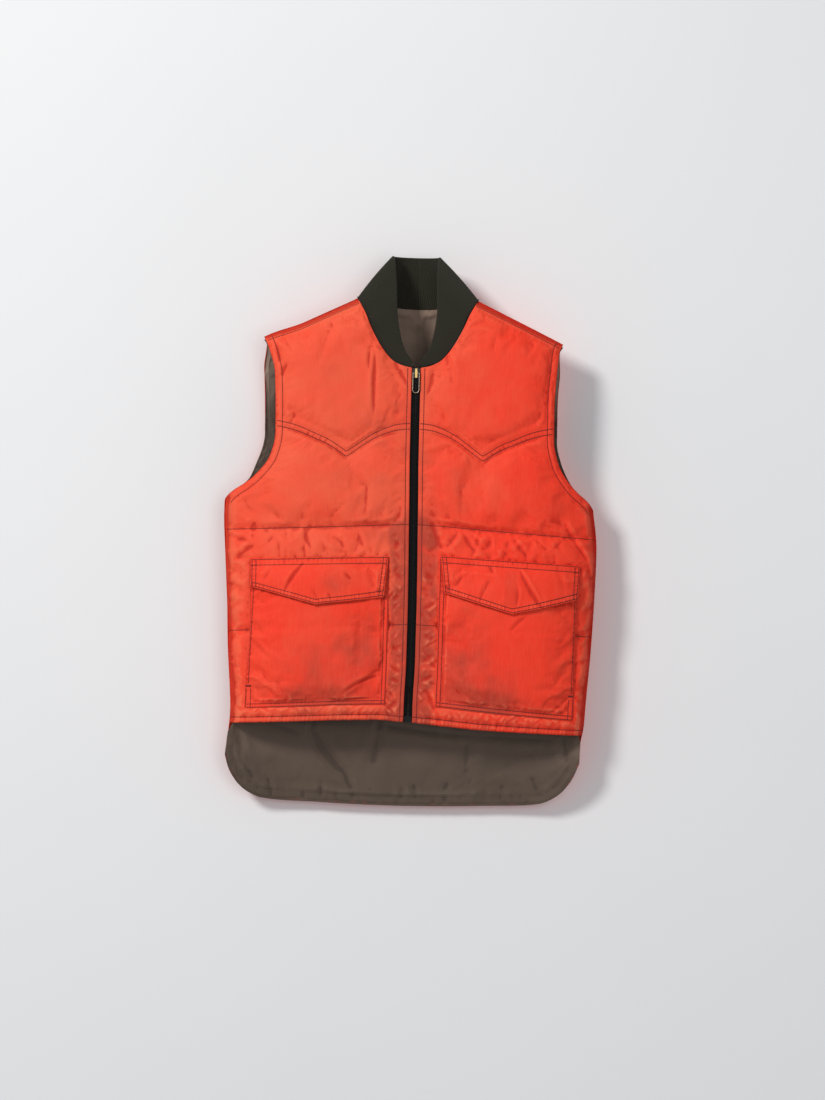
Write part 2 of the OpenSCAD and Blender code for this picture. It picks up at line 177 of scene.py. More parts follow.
# side outline below and above the armpit: z, x
SIDE_LOW = [(0, 262), (60, 260), (112, 258), (242, 266), (330, 270), (400, 272), (PIT, 270)]
SIDE_HIGH = [(PIT, 270), (449, 266), (457, 258), (466, 246), (479, 232.6), (510, 213.5),
             (545, 205.8), (594, 205.4), (640, 207), (670, 209.5), (680, 214)]
# yoke's lower edge, inside and outside its low point: x, z
YOKE_IN = [(0, 558.5), (8, 558.5), (25, 556.5), (44, 549.5), (60, 540.5), (75, 529),
           (88, 518.5), (100, 509.5)]
YOKE_OUT = [(100, 509.5), (112, 518), (128, 528), (146, 536), (165, 544.5), (181, 550), (210, 556)]
# lower edge of the back: x, z
TAIL = [(0, 0), (60, 0.8), (124, 3), (180, 5), (205, 8), (222, 13), (236, 23), (247, 37),
        (254, 50), (260, 68)]
# front neckline: x, z
NECK = [(GAP_X, ZIP_TOP), (20, 644), (34, 650.5), (47, 664), (59, 682), (68, 700), (76, 718.5),
        (82, 730), (NECK_W, NECK_Z)]


def side_x(z):
    z = np.asarray(z, float)
    return np.where(z < PIT, pchip(z, SIDE_LOW), pchip(z, SIDE_HIGH))


def bend_end(z):
    """x where the body's bend towards the side ends."""
    z = np.asarray(z, float)
    return np.where(z < PIT, pchip(z, SIDE_LOW), HALF_W - 3 * (1 - rise(z, PIT, 40)))


def ridge_z(x):
    return NECK_Z - (NECK_Z - TIP_Z) / (TIP_X - NECK_W) * (np.abs(x) - NECK_W)


def bend(x, z):
    return clamp((np.abs(x) - 110) / (bend_end(z) - 110)) ** 3


def front_y(x, z):
    return Y_MID - HALF_D + 35 * bend(x, z) + 12 * (1 - clamp((ridge_z(x) - z) / 60)) ** 2


def back_y(x, z):
    b = bend(x, z)
    return Y_MID + HALF_D - 35 * b - (58 - 70 * b) * (1 - clamp((ridge_z(x) - z) / 130)) ** 2


def yoke_z(x):
    x = np.abs(np.asarray(x, float))
    return np.where(x < 100, pchip(x, YOKE_IN), pchip(x, YOKE_OUT))


def back_neck(x):
    return NECK_Z - 11 + 9 * (np.abs(x) / NECK_W) ** 2


def hem_z(t):
    return lerp(HEM, HEM - 12, t)


def hem_at(x):
    return hem_z(clamp((x - GAP_X) / 251))


# ------------------------------------------------------------------ curves and grids


def resample(points, t):
    """Points at fractions t of a polyline's length."""
    points = np.asarray(points, float)
    along = np.concatenate([[0], np.cumsum(np.linalg.norm(np.diff(points, axis=0), axis=1))])
    along /= along[-1]
    return np.stack([np.interp(t, along, points[:, k]) for k in range(points.shape[1])], -1)


def cells(length, step):
    return int(round(length / step)) + 1


def coons(bottom, top, left, right, cols, rows):
    """A grid stretched between four edge lines."""
    u, v = linspace(0, 1, cols), linspace(0, 1, rows)
    low, high = resample(bottom, u), resample(top, u)
    start, end = resample(left, v), resample(right, v)
    u, v = u[None, :, None], v[:, None, None]
    corners = ((1 - u) * (1 - v) * low[0] + u * (1 - v) * low[-1]
               + (1 - u) * v * high[0] + u * v * high[-1])
    return ((1 - v) * low[None] + v * high[None]
            + (1 - u) * start[:, None] + u * end[:, None] - corners)


def nearest(flat, line):
    """Distance from each flat point to a polyline, and how far along it the nearest point is."""
    line = np.asarray(line, float)
    shape = flat.shape[:-1]
    points = flat.reshape(-1, 2)
    best = np.full(len(points), 1e9)
    along = np.zeros(len(points))
    passed = 0.0
    for a, b in zip(line[:-1], line[1:]):
        step = b - a
        length = np.linalg.norm(step)
        if length < 1e-9:
            continue
        t = clamp(((points - a) @ step) / (length * length))
        away = np.linalg.norm(points - a - t[:, None] * step, axis=1)
        closer = away < best
        best[closer] = away[closer]
        along[closer] = passed + t[closer] * length
        passed += length
    return best.reshape(shape), along.reshape(shape)


def distance(flat, *lines):
    return nearest(flat, np.concatenate(lines))[0]


def offset(line, shift):
    """A polyline moved sideways, to its left."""
    line = np.asarray(line, float)
    t = np.gradient(line, axis=0)
    t /= np.linalg.norm(t, axis=1)[:, None]
    return line + shift * pair(-t[:, 1], t[:, 0])


def refine(grid):
    """Twice as many cells each way, through the old points, cubic in between."""
    for axis in (0, 1):
        grid = np.moveaxis(grid, axis, 0)
        p = np.concatenate([2 * grid[:1] - grid[1:2], grid, 2 * grid[-1:] - grid[-2:-1]])
        out = np.empty((2 * len(grid) - 1,) + grid.shape[1:])
        out[0::2], out[1::2] = grid, (9 * (p[1:-2] + p[2:-1]) - p[:-3] - p[3:]) / 16
        grid = np.moveaxis(out, 0, axis)
    return grid


def blur(values, passes):
    """Passes of a 3 by 3 box blur on a grid of numbers."""
    for _ in range(passes):
        for axis in (0, 1):
            ends = np.take(values, [0], axis), np.take(values, [-1], axis)
            p = np.moveaxis(np.concatenate([ends[0], values, ends[1]], axis), axis, 0)
            values = np.moveaxis((p[:-2] + p[1:-1] + p[2:]) / 3, 0, axis)
    return values


def grid_faces(rows, cols, flip=False, base=0):
    k = (np.arange(rows - 1)[:, None] * cols + np.arange(cols - 1)[None]).ravel() + base
    faces = np.stack([k, k + 1, k + cols + 1, k + cols], -1)
    return faces[:, ::-1] if flip else faces


def rim_of(rows, cols):
    """The grid's boundary, in order, starting at (0,0) and going along the columns first."""
    return np.concatenate([np.arange(cols), np.arange(1, rows) * cols + cols - 1,
                           (rows - 1) * cols + np.arange(cols - 2, -1, -1),
                           np.arange(rows - 2, 0, -1) * cols])


class Face:
    """The outward side of a finished sheet, for laying stitches and strips on it."""

    def __init__(self, grid, out):
        self.out = out  # -1 faces the front, 1 the back
        self.tree = BVHTree.FromPolygons(
            [Vector(v) for v in grid.reshape(-1, 3).tolist()],
            [tuple(map(int, f)) for f in grid_faces(*grid.shape[:2])])

    def hit(self, x, z):
        place, normal, _, _ = self.tree.ray_cast(Vector((x, self.out * 400.0, z)),
                                                 Vector((0, -self.out, 0)))
        if place is None:
            return None, None
        return np.array(place), np.array(normal if normal.y * self.out > 0 else -normal)


def make_mesh(name, verts, faces, smooth_shade=True, attrs=None):
    mesh = bpy.data.meshes.new(name)
    points = np.asarray(verts, float).reshape(-1, 3) * MM
    mesh.from_pydata(points, [], [tuple(map(int, f)) for f in faces])
    mesh.validate()
    mesh.polygons.foreach_set("use_smooth", [smooth_shade] * len(mesh.polygons))
    for key, values in (attrs or {}).items():
        layer = mesh.attributes.new(key, "FLOAT", "POINT")
        layer.data.foreach_set("value", np.asarray(values, np.float32).ravel())
    ob = bpy.data.objects.new(name, mesh)
    bpy.context.scene.collection.objects.link(ob)
    return ob


def make_piece(name, verts, faces, **options):
    pieces[name] = make_mesh(name, verts, faces, **options)
    return pieces[name]


# ------------------------------------------------------------------ cloth simulation


class Sheet:
    """A sewn sheet: pin holds it in place, grow lets it swell, moved is how far it went."""

    def __init__(self, kind, flat, y, pin, grow, flip, sign=1):
        x, z = xz(flat)
        self.kind, self.flip, self.pin, self.grow = kind, flip, pin, grow
        self.grid = np.stack([x * sign, y, z], -1)
        self.moved = np.zeros_like(self.grid)

    def finished(self):
        """The grid after the simulation, at twice the resolution."""
        return refine(self.grid + self.moved)


def weight_group(ob, name, weights):
    group = ob.vertex_groups.new(name=name)
    for w in np.unique(weights):
        if w > 0:
            group.add([int(i) for i in np.nonzero(weights == w)[0]], float(w), "REPLACE")


def simulate(sheets, frames):
    """Swell all the sheets at once, as one object."""
    faces, base = [], 0
    for s in sheets:
        rows, cols = s.grid.shape[:2]
        faces.append(grid_faces(rows, cols, s.flip, base))
        base += rows * cols
    verts = np.concatenate([s.grid.reshape(-1, 3) for s in sheets])
    pin = np.concatenate([s.pin.ravel() for s in sheets])
    grow = np.concatenate([s.grow.ravel() for s in sheets])
    ob = make_mesh("sim_sheet", verts, np.concatenate(faces))
    weight_group(ob, "pin", np.round(pin, 2))
    weight_group(ob, "grow", 1 - np.round(grow, 1))
    mod = ob.modifiers.new("cloth", "CLOTH")
    cloth = mod.settings
    cloth.quality = 4
    cloth.mass = 0.12
    cloth.air_damping = 2.0
    cloth.tension_stiffness = cloth.compression_stiffness = 12
    cloth.shear_stiffness = 6
    cloth.bending_stiffness = 0.8
    cloth.tension_damping = cloth.compression_damping = cloth.shear_damping = 8
    cloth.vertex_group_mass = "pin"
    cloth.pin_stiffness = 1
    cloth.vertex_group_shrink = "grow"
    cloth.shrink_min, cloth.shrink_max = -0.038, 0.0
    cloth.use_pressure = True
    cloth.uniform_pressure_force = 1.2
    cloth.effector_weights.gravity = 0
    mod.collision_settings.use_collision = False
    mod.collision_settings.use_self_collision = False
    mod.point_cache.frame_end = frames + 1
    scene = bpy.context.scene
    for f in range(1, frames + 1):
        scene.frame_set(f)
    mesh = ob.evaluated_get(bpy.context.evaluated_depsgraph_get()).to_mesh()
    co = np.empty(len(verts) * 3)
    mesh.vertices.foreach_get("co", co)
    moved = co.reshape(-1, 3) / MM - verts
    bpy.data.objects.remove(ob)
    scene.frame_set(1)
    base = 0
    for s in sheets:
        count = s.pin.size
        s.moved = moved[base:base + count].reshape(s.grid.shape)
        base += count


# least and most movement in y, by kind of sheet
MOVE_LIMITS = {"front": (-5.0, 2.6), "back": (-2.6, 5.0), "back_in": (-4.0, 3.0),
               "pocket": (-5.5, 2.0), "flap": (-3.0, 1.6)}


def limit_movement(sheet):
    """Soft caps, so that no flat plateau shows where the cloth is stopped."""
    moved = sheet.moved
    low, high = MOVE_LIMITS[sheet.kind]
    mid, half = (low + high) / 2, (high - low) / 2
    moved[..., 1] = (mid + half * np.tanh((moved[..., 1] - mid) / half)
                     - (mid + half * np.tanh(-mid / half)))
    if sheet.kind == "back_in":
        moved *= lerp(0.35, 1, rise(sheet.grid[..., 2:3], 110, 60))
    if sheet.kind == "front":
        x, z = np.abs(sheet.grid[..., 0]), sheet.grid[..., 2]
        moved[..., 1] *= 0.8 * (1 - 0.6 * rise(x, 234, 10) * fall(z, 430, 40))
        by_zip = rise(x, 7, 14)
        moved[..., 1] *= np.where(moved[..., 1] > 0, rise(x, 10, 25), lerp(0.35, 1, by_zip))
        moved[..., 0] *= by_zip
    for axis in (0, 2):
        moved[..., axis] = 3.0 * np.tanh(moved[..., axis] / 3.0)


# ------------------------------------------------------------------ stitching and folds

# path: flat points; depth and width of the valley it pulls in; and the height, reach and
# pitch of the puckers beside it
Seam = namedtuple("Seam", "path depth width pucker reach pitch")

SIDE_LINE = np.array([(side_x(z), z) for z in linspace(HEM - 12, PIT - 0.01, 40)])
ARM_LINE = np.array([(side_x(z), z) for z in np.concatenate([linspace(PIT, 520, 40),
                                                             linspace(525, TIP_Z, 30)])])
NECK_LINE = pair(*(pchip(linspace(0, 1, 60),
                         [(i / (len(NECK) - 1), p[axis]) for i, p in enumerate(NECK)])
                   for axis in (0, 1)))
HEM_LINE = pair(linspace(GAP_X, 258, 40), hem_z(linspace(0, 1, 40)))
RIDGE_LINE = np.array([(NECK_W, NECK_Z), (TIP_X, TIP_Z)])
ZIP_LINE = np.array([(GAP_X, HEM), (GAP_X, ZIP_TOP)])
yoke_x = np.concatenate([linspace(GAP_X + 1, 99.6, 60), linspace(100, 205, 60)])
YOKE_LINE = pair(yoke_x, yoke_z(yoke_x))

FRONT_SEAMS = {
    "chest": Seam(np.array([(GAP_X, 410), (272, 398)]), 3.2, 6.5, 0.42, 20, 24),
    "waist": Seam(np.array([(GAP_X, 266), (268, 252)]), 3.0, 6.5, 0.45, 18, 20),
    "yoke_low": Seam(YOKE_LINE, 2.4, 5.5, 0.32, 16, 17),
    "yoke_high": Seam(YOKE_LINE + [0, 7.6], 1.5, 3.5, 0.22, 14, 15),
    "placket": Seam(np.array([(12.4, HEM), (12.4, ZIP_TOP + 2)]), 0.9, 2.6, 0.7, 20, 11),
    "hem": Seam(HEM_LINE + [0, 8.0], 2.4, 3.6, 1.1, 8, 6.6),
    "arm": Seam(offset(ARM_LINE, 10.5), 1.9, 4.5, 0.35, 12, 12),
    "shoulder": Seam(RIDGE_LINE + [-3, -7.5], 1.9, 4.0, 0.5, 24, 17),
}


def near_seams(flat, seams):
    """Per seam: distance to it, and place along it."""
    return {name: nearest(flat, seam.path) for name, seam in seams.items()}


def closest(near, names):
    return np.minimum.reduce([near[name][0] for name in names])


def valleys(near, seams):
    return np.maximum.reduce([s.depth * bell(near[name][0], s.width)
                              for name, s in seams.items()])


def puckers(near, seams, seed):
    """Short ridges that run out from each line of stitching."""
    total = 0
    for i, (name, seam) in enumerate(seams.items()):
        away, along = near[name]
        shear = 0.35 * noise(along / 45 + seed, i * 3.1) + 0.15
        phase = (along + shear * away) / seam.pitch
        fine = noise(phase, away / 38 + i * 7.7, seed * 1.7 + i)
        coarse = noise(phase * 0.47, away / 60 + i * 5.1, seed * 2.3 + i)
        reach = seam.reach * (0.75 + 0.5 * noise(along / 30, i * 2.2, seed))
        fade = np.exp(-((away / np.maximum(reach, 4)) ** 1.3))
        total = total + seam.pucker * (0.9 * fine + 0.8 * coarse) * fade * 1.5
    return total


def rib_band(near, first, second, gap, pitch, seed):
    """The cloth between two rows of stitching is drawn up into small even ribs."""
    along = near[first][1]
    inside = fall(np.maximum(near[first][0], near[second][0]), gap + 1.0, 1.4)
    return inside * np.sin(2 * np.pi * along / pitch + 2.4 * noise(along / 20, seed))


def bowed_line(x0, z0, x1, z1, bow):
    """A line between two points that swells sideways by bow, and its straight length."""
    t = linspace(0, 1, 12)
    dx, dz = x1 - x0, z1 - z0
    length = math.hypot(dx, dz)
    return pair(x0 + dx * t - dz / length * bow * 4 * t * (1 - t),
                z0 + dz * t + dx / length * bow * 4 * t * (1 - t)), length


def crease(flat, x0, z0, x1, z1, width, depth, bow):
    """One fold: the relief of a valley with a soft ridge on its left, and a painted shade line along
    its bottom.
    """
    line, length = bowed_line(x0, z0, x1, z1, bow)
    away, along = nearest(flat, line)
    t = clamp(along / length)
    taper = np.sin(np.pi * t) ** 0.8
    x, z = xz(flat)
    beside = (x - x0) * (-(z1 - z0) / length) + (z - z0) * ((x1 - x0) / length) - bow * 4 * t * (1 - t)
    spread = width * (0.45 + 0.65 * taper)
    ridge = (0.65 * bell(beside - spread * 1.5, spread * 1.1)
             * bell(np.maximum(away - np.abs(beside), 0), spread))
    relief = depth * (ridge - bell(away, spread)) * taper
    fine = 0.6 if width < 2.7 else 0.55 + 0.45 * float(clamp((length - 16) / 36))
    dark = (fine * min(depth / 1.8, 1.0) * min(1.0, 4.0 / width) * taper
            * bell(away, 2.5 * (0.7 + 0.4 * taper)))
    return relief, dark


def add_folds(flat, relief, folds):
    """The relief with folds added, and the folds' painted shade lines."""
    dark = 0 * relief
    for fold in folds:
        height, line = crease(flat, *fold)
        relief = relief + height
        dark = np.maximum(dark, line)
    return relief, dark


# folds of each front: start x, z, end x, z, width, depth, bow
FRONT_FOLDS = {
    -1: [
        (61, 668, 61, 570, 2.4, 1.9, 0), (69, 672, 69, 632, 2.2, 1.1, 0),
        (24, 640, 9, 612, 2.4, 1.7, 1), (32, 655, 18, 622, 2.6, 1.0, 2),
        (118, 716, 142, 640, 5, 1.3, 3), (186, 646, 196, 622, 2.6, 1.7, 1),
        (176, 575, 184, 556, 3, 1.2, 0), (190, 690, 178, 655, 3.5, 1.4, 2),
        (196, 672, 199, 640, 2.6, 1.2, 0), (159, 404, 151, 368, 3.0, 1.9, 2),
        (228, 412, 236, 396, 4, 1.6, 1), (232, 376, 250, 362, 3, 1.8, 1),
        (246, 366, 262, 350, 3, 1.5, 1), (232, 392, 262, 376, 4.5, 1.1, 2),
        (92, 365, 82, 392, 4, 1.3, 2), (30, 412, 17, 436, 3, 1.5, 1),
        (28, 372, 22, 388, 3, 1.4, 0), (246, 446, 226, 420, 5, 1.0, 2),
        (120, 400, 112, 374, 5, 0.9, 2), (264, 350, 240, 326, 5, 1.5, 3),
        (268, 330, 240, 300, 5, 1.1, 3), (262, 215, 240, 196, 5, 1.1, 2),
        (262, 180, 240, 160, 5, 0.9, 2), (262, 150, 240, 130, 4, 0.9, 2),
        (36, 140, 16, 158, 3, 1.7, 2), (34, 206, 14, 196, 2.2, 1.6, 1),
        (34, 186, 14, 180, 2.0, 1.5, -1), (32, 228, 14, 236, 2.4, 1.3, 1),
        (34, 300, 14, 318, 3, 1.2, 2), (30, 345, 15, 330, 3, 1.1, 1),
    ],
    1: [
        (25, 420, 42, 372, 3.2, 2.0, -1), (66, 405, 48, 377, 3.2, 1.7, 1),
        (70, 404, 90, 368, 3.2, 1.5, -1), (84, 399, 103, 373, 2.8, 1.3, -1),
        (110, 398, 96, 372, 4, 0.9, 1), (144, 396, 164, 364, 3.0, 1.7, -1),
        (132, 396, 138, 372, 4, 0.9, 1), (222, 424, 258, 358, 4.0, 2.3, -5),
        (256, 360, 262, 322, 3.2, 1.9, -1), (186, 398, 196, 374, 5, 0.9, 1),
        (205, 440, 232, 404, 6, 1.2, -3), (40, 664, 52, 610, 5, 1.1, 3),
        (24, 640, 15, 600, 3.4, 1.3, 2), (86, 700, 118, 655, 6, 0.9, 4),
        (150, 700, 176, 640, 6, 0.9, 4), (199, 672, 186, 560, 5, 1.2, 3),
        (192, 620, 178, 566, 4, 0.9, 2), (100, 560, 132, 500, 9, 0.9, 4),
        (150, 520, 172, 470, 9, 0.9, 4), (120, 470, 138, 418, 7, 0.9, 3),
        (22, 440, 40, 408, 4, 1.0, -2), (34, 300, 14, 288, 2.6, 1.5, 1),
        (34, 224, 16, 212, 2.2, 1.7, 1), (34, 190, 14, 182, 2.0, 1.8, -1),
        (16, 180, 36, 148, 2.6, 1.7, 1), (34, 246, 15, 252, 2.4, 1.3, 1),
        (30, 330, 15, 345, 3, 1.2, 1), (256, 300, 244, 262, 5, 1.2, 2),
        (258, 170, 240, 186, 4, 1.3, 2), (252, 158, 238, 172, 3, 1.0, 1),
    ],
}
# strips of small creases: seed, x from, to, z from, to, pitch, slant in degrees, length, width, depth
SMALL_FOLDS = [
    (100, 18, 34, 134, 330, 7.0, 48, 19, 2.0, 0.9), (200, 18, 34, 330, 440, 12, 45, 17, 2.2, 0.6),
    (300, 42, 250, 130, 138, 6.0, 42, 12, 1.5, 0.6), (400, 248, 260, 150, 400, 34, 55, 34, 4.6, 0.8),
    (500, 60, 250, 380, 394, 25, 64, 36, 3.8, 0.9), (550, 50, 255, 414, 436, 38, 65, 42, 8.0, 0.7),
    (600, 30, 190, 570, 590, 30, 62, 40, 7.0, 0.5), (650, 110, 196, 664, 690, 18, 62, 30, 4.5, 0.8),
]
# wide soft folds hanging in the tail, as FRONT_FOLDS but with a last column: painted shade at the
# bottom
TAIL_FOLDS = [
    (-139, 122, -136, 100, 5, 1.6, 0, 0.9), (-136, 102, -82, 42, 9, 3.0, -3, 1.0),
    (-84, 46, -66, 10, 6, 2.0, -2, 0.9), (-44, 122, -40, 104, 5, 1.8, 0, 1.0),
    (-40, 104, -44, 56, 9, 2.2, 2, 0.6), (93, 106, 94, 46, 10, 2.0, 0, 0.5),
    (-196, 34, -190, 8, 5, 1.3, 0, 0.6), (-226, 48, -214, 26, 5, 1.3, 0, 0.5),
    (-117, 34, -117, 8, 4, 1.3, 0, 0.6), (2, 30, 0, 8, 4, 0.9, 0, 0.3),
    (18, 34, 24, 8, 5, 1.0, 0, 0.35), (69, 36, 62, 8, 6, 1.1, 0, 0.35),
    (104, 44, 96, 12, 7, 1.1, 0, 0.35), (150, 34, 146, 8, 6, 1.0, 0, 0.3),
    (190, 50, 204, 18, 8, 1.4, 0, 0.4), (-210, 112, -150, 92, 8, 1.4, 3, 0.5),
    (-246, 112, -236, 60, 8, 2.2, 0, 0.7), (232, 112, 244, 60, 8, 2.2, 0, 0.7),
    (-60, 70, -10, 60, 16, 1.2, 0, 0.1), (140, 100, 160, 50, 16, 1.2, 0, 0.15),
    (-40, 113, 96, 106, 5, 1.6, 0, 0.9), (90, 107, 240, 101, 6, 1.2, 0, 0.5),
    (-236, 118, -60, 116, 5, 1.0, 0, 0.4),
]
# pleats at the centre of the back lining, below the neck
NECK_PLEATS = [(-1, 728, 0, 640, 3.0, 1.5, 0), (-22, 726, -26, 660, 5, 0.9, 0),
               (24, 726, 22, 670, 5, 0.8, 0)]
POCKET_FOLDS = {
    -1: [(46, 190, 108, 150, 3.2, 1.5, 6), (108, 150, 114, 141, 3, 1.2, 0),
         (196, 178, 178, 150, 4, 1.2, 0), (160, 162, 170, 148, 4, 0.9, 0),
         (52, 262, 66, 250, 5, 0.9, 0), (222, 300, 205, 250, 7, 0.9, 0),
         (86, 250, 120, 200, 9, 0.9, 4)],
    1: [(232, 168, 205, 144, 2.8, 1.9, 1), (142, 258, 168, 282, 3.4, 1.2, 2),
        (60, 176, 84, 148, 4.5, 1.1, 2), (90, 164, 104, 146, 4, 0.9, 0),
        (150, 250, 190, 190, 9, 1.0, 4), (228, 262, 214, 240, 4, 0.8, 0),
        (60, 250, 76, 230, 5, 1.0, 0)],
}
FLAP_FOLDS = {
    -1: [(162, 352, 190, 308, 3.4, 1.9, 2), (106, 342, 92, 330, 3, 1.3, 1),
         (205, 346, 222, 318, 4, 1.2, 2), (128, 312, 120, 300, 3, 1.1, 0),
         (150, 318, 138, 296, 4, 0.9, 1), (70, 348, 62, 322, 4, 0.8, 1)],
    1: [(108, 352, 116, 340, 3, 1.6, 0), (150, 351, 192, 298, 3.4, 2.2, -4),
        (150, 330, 149, 300, 2.6, 1.2, 1), (96, 306, 112, 336, 3.4, 1.0, 1),
        (70, 350, 62, 320, 4, 0.8, 1), (206, 350, 218, 312, 4, 0.8, 1)],
}


def scatter(seed, x0, x1, z0, z1, pitch, slant, length, width, depth):
    """Creases along a strip, one every pitch, slanted either way from the strip's direction."""
    rng = np.random.default_rng(seed)
    tall = (z1 - z0) > (x1 - x0)
    folds = []
    for c in np.arange(0, (z1 - z0) if tall else (x1 - x0), pitch):
        x = rng.uniform(x0, x1) if tall else x0 + c + rng.uniform(-0.3, 0.3) * pitch
        z = z0 + c + rng.uniform(-0.3, 0.3) * pitch if tall else rng.uniform(z0, z1)
        turn = slant * rng.choice([-1.0, 1.0]) * rng.uniform(0.6, 1.3)
        angle = math.radians((90 if tall else 0) + turn)
        half = length * rng.uniform(0.6, 1.4) / 2
        wide, deep = width * rng.uniform(0.8, 1.3), depth * rng.uniform(0.5, 1.3)
        dx, dz = math.cos(angle) * half, math.sin(angle) * half
        folds.append((x - dx, z - dz, x + dx, z + dz, wide, deep, rng.uniform(-1.5, 1.5)))
    return folds


def front_folds(sign):
    folds = [(*f[:4], f[4] * 1.3 + 0.4, f[5] * 1.2, f[6]) for f in FRONT_FOLDS[sign]]
    for seed, *strip in SMALL_FOLDS:
        folds += scatter(seed + 7 * sign, *strip)
    return folds


# ------------------------------------------------------------------ front sheets

STEP = 4.0
POCKET_IN, POCKET_OUT = 38.0, 240.0
FRONT_EDGES = dict(hem=HEM_LINE, arm=ARM_LINE, neck=NECK_LINE, ridge=RIDGE_LINE,
                   side=SIDE_LINE, zip=ZIP_LINE)


def pocket_top(x):
    return lerp(364, 355, clamp((np.abs(x) - POCKET_IN) / 202))


def pocket_base(x):
    return lerp(145, 133, clamp((np.abs(x) - POCKET_IN) / 202))


def behind_pocket(x, z):
    return (rise(x, POCKET_IN - 4, 12) * fall(x, POCKET_OUT + 6, 12)
            * rise(z, pocket_base(x) - 4, 12) * fall(z, pocket_top(x) + 2, 12))


def front_depths(flat, near):
    """y of the shell's outer face and of the lining, with stitched valleys and closed edges."""
    x, z = xz(flat)
    thick = lerp(3.0, THICK, rise(np.abs(x), 14, 18))
    valley = valleys(near, FRONT_SEAMS) * lerp(0.12, 1.0, rise(x, 14, 26))
    broad = bell(closest(near, ("chest", "waist", "yoke_low")), 26)
    puff = rise(x, 22, 40) * (1.9 * (1 - broad) - 0.6 * broad)
    away = {name: distance(flat, line) for name, line in FRONT_EDGES.items()}
    edge = np.maximum.reduce([np.maximum(thick / 2 - inset, 0) * bell(away[name], 5)
                              for name, inset in (("hem", 1.1), ("arm", 1.1), ("neck", 2.7))])
    y = front_y(x, z)
    roll = np.maximum(9.3 * bell(away["ridge"], 6.5), (Y_MID - 0.3 - y) * bell(away["side"], 7.5))
    inside = smooth(np.minimum.reduce([away["hem"], away["arm"], away["ridge"] * 1.2]) / 22)
    pocket = behind_pocket(x, z)
    outer = (y + np.maximum(np.maximum(valley, edge), roll) - puff * inside * (1 - pocket)
             - 0.5 * bell(away["zip"], 3.0) + 1.2 * pocket + 1.3 * (1 - inside) * 0.4)
    lining = y + thick - 0.8 * np.minimum(valley, thick / 2 - 1) - edge + puff * 0.5 * inside
    lining = np.where(roll > 1, np.maximum(np.minimum(lining, Y_MID - 0.6), outer + 0.9),
                      np.maximum(lining, outer + 1.0))
    return outer, lining


def front_sheets():
    flat = coons(HEM_LINE, RIDGE_LINE, np.concatenate([ZIP_LINE, NECK_LINE[1:]]),
                 np.concatenate([SIDE_LINE, ARM_LINE[1:]]), cells(232, STEP), cells(600, STEP))
    x, z = xz(flat)
    near = near_seams(flat, FRONT_SEAMS)
    y, _ = front_depths(flat, near)
    pin = np.zeros(x.shape)
    for name, (away, _) in near.items():
        pin[away < STEP * (0.62 if name != "placket" else 0.5)] = 1.0
    pin[[0, -1]] = pin[:, [0, -1]] = 1
    pin[behind_pocket(x, z) > 0.55] = 1.0
    # the strip below the pocket hardly moves
    strip = (z < pocket_base(x) + 4) & (x > 34)
    pin = np.where(strip, np.maximum(pin, 0.8), pin)
    away = closest(near, ("chest", "waist", "yoke_low", "hem", "arm"))
    made = {}
    for sign in SIDES:
        grow = clamp(0.35 + 0.75 * smooth(away / 60) + 0.35 * noise(x / 60 + 9 * sign, z / 60))
        grow = np.where(x < 40, grow * 0.5, grow)
        grow = np.where(strip, 0.0, grow)
        made[sign] = Sheet("front", flat, y, pin, grow, sign < 0, sign)
    return made


# ------------------------------------------------------------------ back sheets

BACK_STEP = STEP * 1.25
TAIL_LINE = np.array([(x, pchip(x, TAIL))
                      for x in np.concatenate([linspace(0, 200, 30), linspace(204, 260, 50)])])


def back_side(out):
    """The back's side edge, standing out beyond the front's beside the armhole."""
    return np.array([(side_x(z) + out * rise(z, 458, 50) * fall(z, 680, 50), z)
                     for z in linspace(68, TIP_Z, 140)])


# the back hangs a little further out behind the left armhole than behind the right one
BACK_SIDE = {-1: back_side(17.0), 1: back_side(6.0)}
BACK_TOP = np.array([(x, ridge_z(x) if x >= NECK_W else back_neck(x) - 0.5 + 0.5 * x / NECK_W)
                     for x in np.concatenate([linspace(TIP_X, NECK_W, 30),
                                              linspace(NECK_W - 3, 0, 30)])])
BACK_SEAMS = {
    "chest": Seam(np.array([(0, 411), (273, 399)]), 3.4, 7, 0.75, 17, 17),
    "waist": Seam(np.array([(0, 267), (268, 253)]), 3.2, 7, 0.7, 16, 15),
    "hem": Seam(TAIL_LINE * [0.965, 1] + [0, 8.5], 2.4, 4.5, 0.9, 14, 10),
    "arm": Seam(offset(BACK_SIDE[1][40:], 10.0), 2.2, 4.5, 0.6, 12, 11),
}


def back_depths(half, near, away):
    """y of the back's outer face and of its lining."""
    x, z = xz(half)
    tail, side, ridge, neck = away
    valley = valleys(near, BACK_SEAMS)
    broad = bell(closest(near, ("chest", "waist")), 26)
    free = np.minimum(tail, np.where(z < 455, 1e9, side))
    edge_depth = THICK / 2 - 1.1
    edge = edge_depth * bell(np.minimum(free, neck), 5)
    seam = rise(z, 96, 34) * (1 - rise(z, 440, 22))
    y = back_y(x, z)
    side_depth = lerp(edge_depth, y - (Y_MID + 0.5), seam)
    roll = np.maximum(side_depth * bell(side, lerp(5, 7.5, seam)), 9.3 * bell(ridge, 6.5))
    inside = smooth(np.minimum.reduce(away) / 24)
    puff = 1.8 * (1 - broad) - 0.5 * broad
    outer = (y - np.maximum(np.maximum(valley, edge), roll) + puff * inside * smooth(tail / 60)
             - 0.9 * (1 - inside))
    lining = y - THICK + 0.8 * valley + edge - 0.6 * puff * inside
    lining = lerp(lining, np.maximum(lining, Y_MID + 1.6), bell(side, 6) * seam)
    return outer, np.minimum(lining, outer - 1.0)


